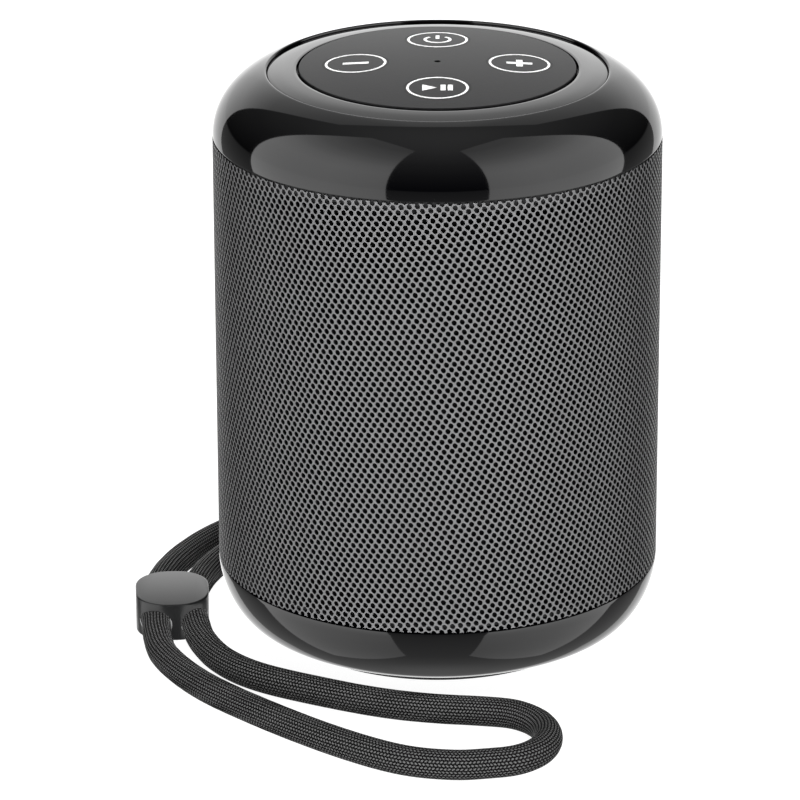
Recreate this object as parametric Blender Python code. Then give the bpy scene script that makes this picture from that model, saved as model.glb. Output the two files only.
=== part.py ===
"""Portable cylindrical speaker with a braided wrist strap.

Metres, +Z up.  The speaker stands on z = 0 with its axis on Z; the front, where
the driver is, faces -Y, and +X is to the right of someone facing it.
"""

import math

import bmesh
import bpy
from mathutils import Vector

MM = 0.001

# Overall sizes
BODY_R = 42.0 * MM  # outside of the grille and of both shells
GRILLE_Z0 = 14.9 * MM  # lower edge of the grille
GRILLE_H = 83.5 * MM  # height of the grille
SHOULDER_H = 12.85 * MM  # height of the top shell's rounded shoulder
STEPS = 32  # facets round a large turned piece
SMALL_STEPS = 20  # and round a small one

# Clearances
FIT = 0.3 * MM  # between pieces that touch or seat
CLOTH_FIT = 0.25 * MM  # between the dust cloth and what it lies on
KEY_FIT = 0.2 * MM  # round a key
PRESS_FIT = 0.3 * MM  # between a screw and its pilot hole

# Walls
GRILLE_WALL = 0.8 * MM
CLOTH_WALL = 0.3 * MM
CHASSIS_WALL = 2.4 * MM
SHELL_WALL = 2.7 * MM
DECK_WALL = 1.8 * MM
BOARD_WALL = 1.2 * MM

# Keys and the control pad
KEY_R = 6.0 * MM
KEY_RING_R = 15.2 * MM  # how far each key's centre is from the axis
KEY_TRAVEL = 0.5 * MM
KEY_LIP = 1.2 * MM  # retaining lip under the pad
KEY_STEM_R = 1.5 * MM
KEY_ANGLES = {"power": 90.0, "minus": 180.0, "play": 270.0, "plus": 0.0}
PAD_MARGIN = 4.6 * MM  # from the keys' outer edge to the pad's edge
PAD_WALL = 1.4 * MM
PAD_ABOVE_DECK = 2.9 * MM
PAD_ABOVE_LIP = 0.47 * MM
PAD_SKIRT = 2.3 * MM
PAD_DOME = 1.05 * MM  # how far the pad's middle stands above its edge
MIC_R = 0.6 * MM
BEZEL_W = 5.85 * MM  # sloping gloss ring between the pad and the shell's lip
BEZEL_RISE = 0.7 * MM
LIP_BEVEL = 0.25 * MM
LIP_ROOT = 5.3 * MM  # from the shoulder ellipse's centre out to the lip

# Driver and passive radiator
DRIVER_HALF = 21.5 * MM  # half the width of the square flanges
DRIVER_R = 19.4 * MM  # outside of the basket's bowl
BOWL_RIM_IN = DRIVER_R - 2.0 * MM  # inside of the bowl's wall at its rim, and at its back
BOWL_BACK_IN = DRIVER_R - 8.1 * MM
BOWL_RIM_DEPTH = 4.0 * MM
BOWL_DEPTH = 12.0 * MM
RADIATOR_R = 12.9 * MM
POCKET_MARGIN = 2.8 * MM  # round the flanges, in the chassis

# Ports
PORT_HALF_ANGLE = 20.5  # degrees, of the port frame
PORT_H = 17.4 * MM
PORT_ABOVE_EDGE = 2.3 * MM
COVER_HALF_ANGLE = 17.0
COVER_WALL = 1.1 * MM
COVER_MARGIN = 2.2 * MM  # from the frame's ends to the cover
COVER_RELIEF = 2.2  # degrees of free space beside the cover's hinge
USB_X = -5.0 * MM
AUX_X = 6.5 * MM

# Base
BASE_W = 6.84 * MM  # radial size of the lower shell's rounded edge
BASE_POWER = 1.7
BASE_CORNER_Z = 3.03 * MM
BASE_Z = 1.2 * MM  # underside of the lower shell
BASE_FLOOR_Z = 4.6 * MM
FOOT_R = 30.2 * MM
FOOT_W = 4.2 * MM
FOOT_H = 2.3 * MM
BOSS_RING_R = 22.0 * MM
BATTERY_R = 9.2 * MM
BATTERY_H = 65.0 * MM

# Strap
CORD_R = 2.75 * MM
CORD_STEP = 8.0 * MM  # along the cord between the points of its tube
STRAND_OUT_R = 54.9 * MM  # the two strands lie round the speaker's own axis
STRAND_IN_R = 47.5 * MM
STRAND_Z = 3.3 * MM  # their height where the slider and the clamp carry them
SLIDER_ANGLE = 183.7
SLIDER_LENGTH = 16.0 * MM
SLIDER_H = 7.4 * MM
SLIDER_SIDE = 0.8 * MM  # wall beside the slider's holes
SLIDER_FIT = 0.25 * MM
CLAMP_ANGLE = 105.5
CLAMP_LENGTH = 11.4 * MM
CLAMP_H = 6.6 * MM
FLOOR_FIT = 0.1 * MM  # under the slider and the clamp
PIN_ANGLE = 97.0
PIN_INSET = 5.5 * MM  # from the body's outside in to the pin
PIN_R = 0.95 * MM
EYE_WALL = 1.3 * MM
POCKET_HALF_W = 4.6 * MM
POCKET_Z0 = 3.4 * MM
POCKET_Z1 = 9.4 * MM

# Heights and radii that follow
GRILLE_Z1 = GRILLE_Z0 + GRILLE_H
TOP_Z = GRILLE_Z1 + FIT
PAD_R = KEY_RING_R + KEY_R + PAD_MARGIN
LIP_R = PAD_R + FIT + BEZEL_W + LIP_BEVEL
SHOULDER_R = LIP_R - LIP_ROOT
SHOULDER_W = BODY_R - SHOULDER_R
LIP_Z = TOP_Z + SHOULDER_H * math.sqrt(1 - (LIP_ROOT / SHOULDER_W) ** 2)
PAD_Z = LIP_Z + PAD_ABOVE_LIP
DECK_Z = PAD_Z - PAD_ABOVE_DECK
DECK_UNDER_Z = DECK_Z - DECK_WALL
STEM_Z = DECK_UNDER_Z
SWITCH_Z = STEM_Z - KEY_TRAVEL - KEY_FIT
SWITCH_H = 1.3 * MM
KEY_BOARD_Z = SWITCH_Z - SWITCH_H - FIT
KEY_BOARD_R = KEY_RING_R + KEY_R + KEY_LIP + 1.6 * MM
GRILLE_IN = BODY_R - GRILLE_WALL
CLOTH_OUT = GRILLE_IN - CLOTH_FIT
CHASSIS_R = CLOTH_OUT - CLOTH_WALL - CLOTH_FIT
CHASSIS_IN = CHASSIS_R - CHASSIS_WALL
LID_WALL = 1.5 * MM
GASKET_WALL = 0.8 * MM
LID_Z0 = GRILLE_Z1 - LID_WALL
CHASSIS_Z1 = LID_Z0 - GASKET_WALL - 2 * FIT
BASE_TOP_Z = GRILLE_Z0 - FIT
CHASSIS_Z0 = BASE_TOP_Z + GASKET_WALL + 2 * FIT
CHASSIS_FLOOR_Z = CHASSIS_Z0 + 3.4 * MM
POCKET_HALF = DRIVER_HALF + POCKET_MARGIN
BAFFLE_Y = math.sqrt(CHASSIS_IN**2 - POCKET_HALF**2)
DRIVER_Z = GRILLE_Z0 + GRILLE_H / 2
PORT_Z0 = GRILLE_Z0 + PORT_ABOVE_EDGE
PORT_Z1 = PORT_Z0 + PORT_H
PORT_MID_Z = (PORT_Z0 + PORT_Z1) / 2
PORT_WALL_Z = PORT_Z1 + FIT + CHASSIS_WALL
RADIATOR_Z = PORT_WALL_Z + 0.5 * MM + CHASSIS_WALL + POCKET_HALF
COVER_R = BODY_R - COVER_WALL
PORT_FACE_R = COVER_R - FIT
SLIDER_HOLE_R = CORD_R + SLIDER_FIT
SLIDER_R = (STRAND_OUT_R + STRAND_IN_R) / 2
STRAP_W = STRAND_OUT_R - STRAND_IN_R + 2 * (SLIDER_HOLE_R + SLIDER_SIDE)
MAIN_BOARD_Z = 8.7 * MM
MAIN_BOARD_WALL = 1.5 * MM
BOSS_SHOULDER_Z = MAIN_BOARD_Z + MAIN_BOARD_WALL + FIT
BOSS_R = 2.4 * MM
SCREW_R = 1.25 * MM

# The cord's route, chosen by hand, in metres: out of the clamp as the outer
# strand, through the slider, round the loop in front, and back as the inner one.
CORD_ROUTE = [
    (-0.0208, 0.0508, 0.0033),
    (-0.0283, 0.0471, 0.0033),
    (-0.0345, 0.0427, 0.0033),
    (-0.0402, 0.0374, 0.0033),
    (-0.0450, 0.0315, 0.0033),
    (-0.0489, 0.0249, 0.0033),
    (-0.0519, 0.0179, 0.0033),
    (-0.0539, 0.0105, 0.0033),
    (-0.0548, 0.0029, 0.0033),
    (-0.0547, -0.0048, 0.0033),
    (-0.0538, -0.0109, 0.0033),
    (-0.0532, -0.0172, 0.0030),
    (-0.0510, -0.0260, 0.00275),
    (-0.0435, -0.0388, 0.00275),
    (-0.0312, -0.0519, 0.00275),
    (-0.0181, -0.0635, 0.00275),
    (-0.0068, -0.0710, 0.00275),
    (0.0024, -0.0733, 0.00275),
    (0.0090, -0.0727, 0.00275),
    (0.0146, -0.0711, 0.00275),
    (0.0187, -0.0670, 0.00275),
    (0.0201, -0.0614, 0.00275),
    (0.0186, -0.0558, 0.00275),
    (0.0144, -0.0516, 0.00275),
    (0.0086, -0.0501, 0.00275),
    (-0.0005, -0.0489, 0.00275),
    (-0.0095, -0.0466, 0.00275),
    (-0.0196, -0.0423, 0.00275),
    (-0.0329, -0.0350, 0.00275),
    (-0.0404, -0.0272, 0.00275),
    (-0.0447, -0.0182, 0.0030),
    (-0.0463, -0.0107, 0.0033),
    (-0.0473, -0.0041, 0.0033),
    (-0.0474, 0.0025, 0.0033),
    (-0.0466, 0.0091, 0.0033),
    (-0.0449, 0.0155, 0.0033),
    (-0.0423, 0.0216, 0.0033),
    (-0.0389, 0.0272, 0.0033),
    (-0.0347, 0.0324, 0.0033),
    (-0.0299, 0.0369, 0.0033),
    (-0.0245, 0.0407, 0.0033),
    (-0.0189, 0.0436, 0.0033),
]


# ---------------------------------------------------------------- helpers


def clear_scene():
    for obj in list(bpy.data.objects):
        bpy.data.objects.remove(obj, do_unlink=True)


def finish(name, rgb, roughness, metallic=0.0):
    """A material of the piece's own."""
    mat = bpy.data.materials.new(name)
    mat.use_nodes = True
    shader = mat.node_tree.nodes["Principled BSDF"]
    shader.inputs["Base Color"].default_value = (*rgb, 1.0)
    shader.inputs["Roughness"].default_value = roughness
    shader.inputs["Metallic"].default_value = metallic
    return mat


BLACK = ((0.010, 0.010, 0.011), 0.12)
MATTE = ((0.030, 0.030, 0.032), 0.60)
RUBBER = ((0.018, 0.018, 0.019), 0.75)
CARD = ((0.055, 0.050, 0.045), 0.85)
STEEL = ((0.55, 0.55, 0.56), 0.30, 1.0)
DARK_METAL = ((0.16, 0.16, 0.165), 0.45, 0.8)
BOARD_GREEN = ((0.010, 0.075, 0.030), 0.45)
COPPER = ((0.70, 0.32, 0.15), 0.35, 1.0)


def polar(radius, degrees, z=0.0):
    angle = math.radians(degrees)
    return Vector((radius * math.cos(angle), radius * math.sin(angle), z))


def add_object(name, bm, look, location=(0, 0, 0), rotation=(0, 0, 0), parent=None):
    """Make the mesh an object; a look of None makes it a cutter or a union tool."""
    bmesh.ops.recalc_face_normals(bm, faces=bm.faces)
    mesh = bpy.data.meshes.new(name)
    bm.to_mesh(mesh)
    bm.free()
    mesh.shade_smooth()
    mesh.set_sharp_from_angle(angle=math.radians(35))
    obj = bpy.data.objects.new(name, mesh)
    obj.location = location
    obj.rotation_euler = rotation
    obj.parent = parent
    bpy.context.scene.collection.objects.link(obj)
    if look is None:
        obj.hide_render = True
        obj.display_type = "WIRE"
    else:
        mesh.materials.append(finish(name, *look))
    return obj


def turned(name, outline, look, steps=STEPS, **place):
    """Turn an outline of (radius, height) about Z; its ends may lie on the axis."""
    bm = bmesh.new()
    verts = [bm.verts.new((r, 0, z)) for r, z in outline]
    edges = [bm.edges.new(pair) for pair in zip(verts, verts[1:])]
    if outline[0][0] > 0:
        edges.append(bm.edges.new((verts[-1], verts[0])))
    bmesh.ops.spin(
        bm,
        geom=verts + edges,
        cent=(0, 0, 0),
        axis=(0, 0, 1),
        angle=2 * math.pi,
        steps=steps,
        use_merge=True,
    )
    bmesh.ops.remove_doubles(bm, verts=bm.verts, dist=1e-6)
    return add_object(name, bm, look, **place)


def ring(name, r_in, r_out, z0, z1, look, steps=STEPS, **place):
    outline = [(r_out, z1), (r_out, z0), (r_in, z0), (r_in, z1)]
    return turned(name, outline, look, steps, **place)


def disc(name, radius, z0, z1, look, steps=STEPS, **place):
    outline = [(0, z1), (radius, z1), (radius, z0), (0, z0)]
    return turned(name, outline, look, steps, **place)


def extruded(name, outline, z0, z1, look, **place):
    """Raise a flat outline of (x, y) from z0 to z1."""
    bm = bmesh.new()
    face = bm.faces.new([bm.verts.new((x, y, z0)) for x, y in outline])
    raised = bmesh.ops.extrude_face_region(bm, geom=[face])
    top = [item for item in raised["geom"] if isinstance(item, bmesh.types.BMVert)]
    bmesh.ops.translate(bm, verts=top, vec=(0, 0, z1 - z0))
    return add_object(name, bm, look, **place)


def rounded_rectangle(width, depth, corner, steps=4):
    points = []
    for turn, (sx, sy) in enumerate([(1, 1), (-1, 1), (-1, -1), (1, -1)]):
        cx, cy = sx * (width / 2 - corner), sy * (depth / 2 - corner)
        for i in range(steps + 1):
            angle = math.radians(90 * (turn + i / steps))
            points.append((cx + corner * math.cos(angle), cy + corner * math.sin(angle)))
    return points


def box(name, low, high, look, **place):
    (x0, y0, z0), (x1, y1, z1) = low, high
    outline = [(x0, y0), (x1, y0), (x1, y1), (x0, y1)]
    return extruded(name, outline, z0, z1, look, **place)


def arc_block(name, r0, r1, a0, a1, z0, z1, look, steps=10, **place):
    """A block that is curved round Z, between two angles in degrees."""
    angles = [a0 + (a1 - a0) * i / steps for i in range(steps + 1)]
    outer = [tuple(polar(r1, a).xy) for a in angles]
    inner = [tuple(polar(r0, a).xy) for a in reversed(angles)]
    return extruded(name, outer + inner, z0, z1, look, **place)


def arc_rod(name, ring_r, rod_r, z, a0, a1, look, sides=16, steps=8):
    """A round rod that is curved round Z, between two angles in degrees."""
    bm = bmesh.new()
    start = polar(ring_r, a0, z)
    out = polar(1, a0)
    verts = []
    for i in range(sides):
        angle = 2 * math.pi * i / sides
        lift = Vector((0, 0, rod_r * math.sin(angle)))
        verts.append(bm.verts.new(start + out * rod_r * math.cos(angle) + lift))
    face = bm.faces.new(verts)
    bmesh.ops.spin(
        bm,
        geom=[face],
        cent=(0, 0, 0),
        axis=(0, 0, 1),
        angle=math.radians(a1 - a0),
        steps=steps,
    )
    return add_object(name, bm, look)


def boolean(obj, tool, operation):
    mod = obj.modifiers.new(operation.lower(), "BOOLEAN")
    mod.operation = operation
    mod.object = tool
    mod.solver = "EXACT"


def cut(obj, *tools):
    for tool in tools:
        boolean(obj, tool, "DIFFERENCE")


def join(obj, *tools):
    for tool in tools:
        boolean(obj, tool, "UNION")


def bevel(obj, width, segments=2):
    mod = obj.modifiers.new("bevel", "BEVEL")
    mod.width = width
    mod.segments = segments
    mod.limit_method = "ANGLE"


def pivot(name, place):
    empty = bpy.data.objects.new(name, None)
    empty.location = place
    bpy.context.scene.collection.objects.link(empty)
    return empty


def screw(name, head_r, head_h, shank_r, length, look=STEEL, **place):
    """Head from 0 up to head_h, shank from 0 down to -length."""
    outline = [
        (0, head_h),
        (head_r, head_h),
        (head_r, 0),
        (shank_r, 0),
        (shank_r, -length),
        (0, -length),
    ]
    return turned(name, outline, look, steps=10, **place)


def smooth_route(points, step):
    """Points about a step apart on one smooth curve through the route."""
    points = [Vector(p) for p in points]
    padded = [2 * points[0] - points[1], *points, 2 * points[-1] - points[-2]]
    fine = []
    for p0, p1, p2, p3 in zip(padded, padded[1:], padded[2:], padded[3:]):
        for i in range(20):
            t = i / 20
            bend = 2 * p0 - 5 * p1 + 4 * p2 - p3
            twist = 3 * p1 - p0 - 3 * p2 + p3
            fine.append(p1 + (p2 - p0) * t / 2 + bend * t * t / 2 + twist * t**3 / 2)
    fine.append(points[-1])
    lengths = [0.0]
    for a, b in zip(fine, fine[1:]):
        lengths.append(lengths[-1] + (b - a).length)
    count = round(lengths[-1] / step)
    route, k = [], 0
    for i in range(count + 1):
        goal = lengths[-1] * i / count
        while k < len(fine) - 2 and lengths[k + 1] < goal:
            k += 1
        share = (goal - lengths[k]) / (lengths[k + 1] - lengths[k])
        route.append(fine[k].lerp(fine[k + 1], share))
    return route


# ---------------------------------------------------------------- top


def key_place(key):
    return polar(KEY_RING_R, KEY_ANGLES[key])


def top_screw_places():
    radius = (LIP_R + BODY_R) / 2 - 3.1 * MM
    return [polar(radius, angle) for angle in (30.0, 150.0, 270.0)]


def key_board_screw_places():
    return [polar(KEY_BOARD_R - 3.6 * MM, angle) for angle in (45.0, 225.0)]


def make_top_shell():
    """Gloss cap: rounded shoulder, lip, and a deck under the keys."""
    inner_w = SHOULDER_W - SHELL_WALL
    inner_h = DECK_UNDER_Z - TOP_Z
    lip_angle = math.acos(LIP_ROOT / SHOULDER_W)
    outline = []
    for i in range(8):
        angle = lip_angle * (1 - i / 7)
        r = SHOULDER_R + SHOULDER_W * math.cos(angle)
        outline.append((r, TOP_Z + SHOULDER_H * math.sin(angle)))
    for i in range(5):
        angle = math.pi / 2 * i / 4
        r = SHOULDER_R + inner_w * math.cos(angle)
        outline.append((r, TOP_Z + inner_h * math.sin(angle)))
    outline.append((0, DECK_UNDER_Z))
    outline.reverse()
    recess_r = LIP_R - LIP_BEVEL
    outline += [(recess_r, LIP_Z - LIP_BEVEL), (recess_r, DECK_Z), (0, DECK_Z)]
    shell = turned("top_shell", outline, BLACK)
    for i, place in enumerate(top_screw_places()):
        join(shell, disc(f"cap_boss_{i}", 2.6 * MM, TOP_Z, DECK_UNDER_Z + 0.25 * MM, None, 12,
                         location=place, rotation=(0, 0, 0.2)))
        cut(shell, disc(f"cap_pilot_{i}", 1.1 * MM + PRESS_FIT, TOP_Z - MM, TOP_Z + 5.5 * MM,
                        None, 10, location=place))
    for i, place in enumerate(key_board_screw_places()):
        join(shell, disc(f"board_boss_{i}", 2.2 * MM, KEY_BOARD_Z + FIT,
                         DECK_UNDER_Z + 0.3 * MM, None, 10, location=place))
        cut(shell, disc(f"board_pilot_{i}", 0.9 * MM + PRESS_FIT, KEY_BOARD_Z - MM,
                        DECK_UNDER_Z + 0.2 * MM, None, 12, location=place))
    for key in KEY_ANGLES:
        cut(shell, disc(f"stem_hole_{key}", KEY_STEM_R + 0.5 * MM, DECK_UNDER_Z - MM,
                        DECK_Z + MM, None, 12, location=key_place(key)))
    cut(shell, disc("mic_channel", MIC_R + KEY_FIT, DECK_UNDER_Z - MM, DECK_Z + MM, None, 12))


def make_bezel():
    inner, outer = PAD_R + FIT, LIP_R - LIP_BEVEL - FIT
    top, low = PAD_Z - KEY_FIT, PAD_Z - KEY_FIT - BEZEL_RISE
    outline = [
        (inner + 0.2 * MM, top),
        (outer - 0.2 * MM, low),
        (outer, low - 0.2 * MM),
        (outer, DECK_Z + FIT),
        (inner, DECK_Z + FIT),
        (inner, top - 0.2 * MM),
    ]
    turned("bezel_ring", outline, BLACK)


def dome_z(radius):
    """Height of the pad's slightly domed face, which the keys' faces follow."""
    return PAD_Z + PAD_DOME * (1 - (radius / PAD_R) ** 2)


def make_pad():
    under = PAD_Z - PAD_WALL
    bevelled = 0.25 * MM
    dome = [(r, dome_z(r)) for r in (PAD_R * i / 6 for i in range(6))]
    outline = dome + [
        (PAD_R - bevelled, PAD_Z),
        (PAD_R, PAD_Z - bevelled),
        (PAD_R, DECK_Z + FIT),
        (PAD_R - PAD_SKIRT, DECK_Z + FIT),
        (PAD_R - PAD_SKIRT, under),
        (0, under),
    ]
    pad = turned("control_pad", outline, MATTE)
    for key in KEY_ANGLES:
        cut(pad, disc(f"key_hole_{key}", KEY_R + KEY_FIT, under - MM, PAD_Z + 2 * MM, None,
                      SMALL_STEPS, location=key_place(key)))
    cut(pad, disc("mic_hole", MIC_R, under - MM, PAD_Z + 2 * MM, None, 12))


def lean_top(key, crown, toward):
    """Lean the key's face so that it lies flush with the dome round it."""
    slope = -2 * PAD_DOME * KEY_RING_R / PAD_R**2
    for vert in key.data.vertices:
        if vert.co.z > crown - 0.2 * MM:
            out = vert.co.x * math.cos(toward) + vert.co.y * math.sin(toward)
            vert.co.z += slope * out


def make_keys():
    """Round keys, each with a retaining lip, over its own tact switch."""
    lip_top = -PAD_WALL - FIT
    lip_low = lip_top - 0.5 * MM
    stem_low = STEM_Z - PAD_Z
    crown = dome_z(KEY_RING_R) - PAD_Z
    outline = [
        (0, crown),
        (KEY_R - 0.15 * MM, crown),
        (KEY_R, crown - 0.15 * MM),
        (KEY_R, lip_top),
        (KEY_R + KEY_LIP, lip_top),
        (KEY_R + KEY_LIP, lip_low),
        (KEY_STEM_R, lip_low),
        (KEY_STEM_R, stem_low),
        (0, stem_low),
    ]
    half = 2.6 * MM
    for key in KEY_ANGLES:
        place = key_place(key)
        made = turned(f"key_{key}", outline, MATTE, SMALL_STEPS,
                      location=place + Vector((0, 0, PAD_Z)))
        lean_top(made, crown, math.radians(KEY_ANGLES[key]))
        low = KEY_BOARD_Z + FIT
        switch = box(f"tact_switch_{key}", (-half, -half, low), (half, half, low + 0.9 * MM),
                     STEEL, location=place)
        join(switch, disc(f"actuator_{key}", 1.3 * MM, low + 0.4 * MM, SWITCH_Z, None, 10,
                          location=place))


def make_key_board():
    board = disc("key_board", KEY_BOARD_R, KEY_BOARD_Z - BOARD_WALL, KEY_BOARD_Z,
                 BOARD_GREEN, 32)
    low = KEY_BOARD_Z - BOARD_WALL - FIT
    for i, place in enumerate(key_board_screw_places()):
        cut(board, disc(f"board_hole_{i}", 1.2 * MM, KEY_BOARD_Z - 3 * MM, KEY_BOARD_Z + MM,
                        None, 12, location=place))
        screw(f"key_board_screw_{i + 1}", 1.9 * MM, 1.1 * MM, 0.9 * MM, 3.7 * MM,
              location=place + Vector((0, 0, low)), rotation=(math.pi, 0, 0))
    disc("microphone", 2.0 * MM, KEY_BOARD_Z + FIT, KEY_BOARD_Z + 1.6 * MM, STEEL, 16)


def make_lid():
    """Plate that closes the sound chamber and carries the cap, with its gasket."""
    lid = disc("enclosure_lid", CHASSIS_R + 0.5 * MM, LID_Z0, GRILLE_Z1, MATTE)
    for i, place in enumerate(top_screw_places()):
        cut(lid, disc(f"lid_hole_{i}", 1.5 * MM, LID_Z0 - MM, GRILLE_Z1 + MM, None, 12,
                      location=place))
        screw(f"top_screw_{i + 1}", 2.2 * MM, 1.3 * MM, 1.1 * MM, 6.6 * MM,
              location=place + Vector((0, 0, LID_Z0 - FIT)), rotation=(math.pi, 0, 0))
    ring("lid_gasket", CHASSIS_IN + 0.3 * MM, CHASSIS_R - 0.3 * MM, CHASSIS_Z1 + FIT,
         LID_Z0 - FIT, RUBBER)


# ---------------------------------------------------------------- middle


def port_window(name, inner, outer):
    angle = PORT_HALF_ANGLE + math.degrees(FIT / BODY_R)
    return arc_block(name, inner, outer, 90 - angle, 90 + angle, PORT_Z0 - FIT,
                     PORT_Z1 + FIT, None)


def make_grille():
    grille = ring("grille", GRILLE_IN, BODY_R, GRILLE_Z0, GRILLE_Z1, DARK_METAL)
    cut(grille, port_window("grille_window", GRILLE_IN - MM, BODY_R + MM))
    cloth = ring("dust_cloth", CLOTH_OUT - CLOTH_WALL, CLOTH_OUT, CHASSIS_Z0, CHASSIS_Z1, CARD)
    cut(cloth, port_window("cloth_window", GRILLE_IN - 2 * MM, BODY_R))


def boss_places():
    return [polar(BOSS_RING_R, angle) for angle in (45.0, 135.0, 225.0, 315.0)]


def make_chassis():
    """Sealed speaker box with a flat baffle for the driver and one for the radiator."""
    chassis = disc("chassis", CHASSIS_R, CHASSIS_Z0, CHASSIS_Z1, MATTE)
    room = disc("chassis_room", CHASSIS_IN, CHASSIS_FLOOR_Z, CHASSIS_Z1 + 5 * MM, None)
    far = BODY_R + 5 * MM
    wall_y = BAFFLE_Y - CHASSIS_WALL
    half = POCKET_HALF + CHASSIS_WALL
    port_half = BODY_R * math.sin(math.radians(PORT_HALF_ANGLE)) + FIT
    port_y = BAFFLE_Y - 1.7 * MM
    cut(
        room,
        box("front_wall", (-half, -far, DRIVER_Z - half), (half, -wall_y, DRIVER_Z + half), None),
        box("rear_wall", (-half, wall_y, RADIATOR_Z - half), (half, far, RADIATOR_Z + half), None),
        box("port_wall", (-port_half - CHASSIS_WALL, port_y - 2 * MM, CHASSIS_Z0 - MM),
            (port_half + CHASSIS_WALL, far, PORT_WALL_Z), None),
    )
    half = POCKET_HALF
    hole_y = 12 * MM
    turn = (math.pi / 2, 0, 0)
    cut(
        chassis,
        room,
        box("front_pocket", (-half, -far, DRIVER_Z - half), (half, -BAFFLE_Y, DRIVER_Z + half),
            None),
        box("rear_pocket", (-half, BAFFLE_Y, RADIATOR_Z - half), (half, far, RADIATOR_Z + half),
            None),
        box("port_pocket", (-port_half, port_y, CHASSIS_Z0 - MM), (port_half, far, PORT_Z1 + FIT),
            None),
        disc("driver_hole", DRIVER_R + FIT, -hole_y, hole_y, None, 24, rotation=turn,
             location=(0, -BAFFLE_Y, DRIVER_Z)),
        disc("radiator_hole", RADIATOR_R + 4.2 * MM, -hole_y, hole_y, None, 24, rotation=turn,
             location=(0, BAFFLE_Y, RADIATOR_Z)),
    )
    for i, (x, z) in enumerate(driver_screw_places()):
        cut(chassis, disc(f"driver_pilot_{i}", 1.05 * MM + PRESS_FIT, -hole_y, hole_y, None, 12,
                          rotation=turn, location=(x, -BAFFLE_Y, z)))
    for i, place in enumerate(boss_places()):
        outline = [
            (0, CHASSIS_Z0 + MM),
            (3.2 * MM, CHASSIS_Z0 + MM),
            (3.2 * MM, BOSS_SHOULDER_Z),
            (BOSS_R, BOSS_SHOULDER_Z),
            (BOSS_R, BASE_FLOOR_Z + FIT),
            (0, BASE_FLOOR_Z + FIT),
        ]
        join(chassis, turned(f"boss_{i}", outline, None, 12, location=place))
        cut(chassis, disc(f"boss_pilot_{i}", SCREW_R + PRESS_FIT, BASE_FLOOR_Z - MM,
                          CHASSIS_Z0 - 2 * MM, None, 12, location=place))


def driver_screw_places():
    offset = DRIVER_HALF - 3.3 * MM
    return [(sx * offset, DRIVER_Z + sz * offset) for sx, sz in
            ((1, 1), (-1, 1), (-1, -1), (1, -1))]


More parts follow.
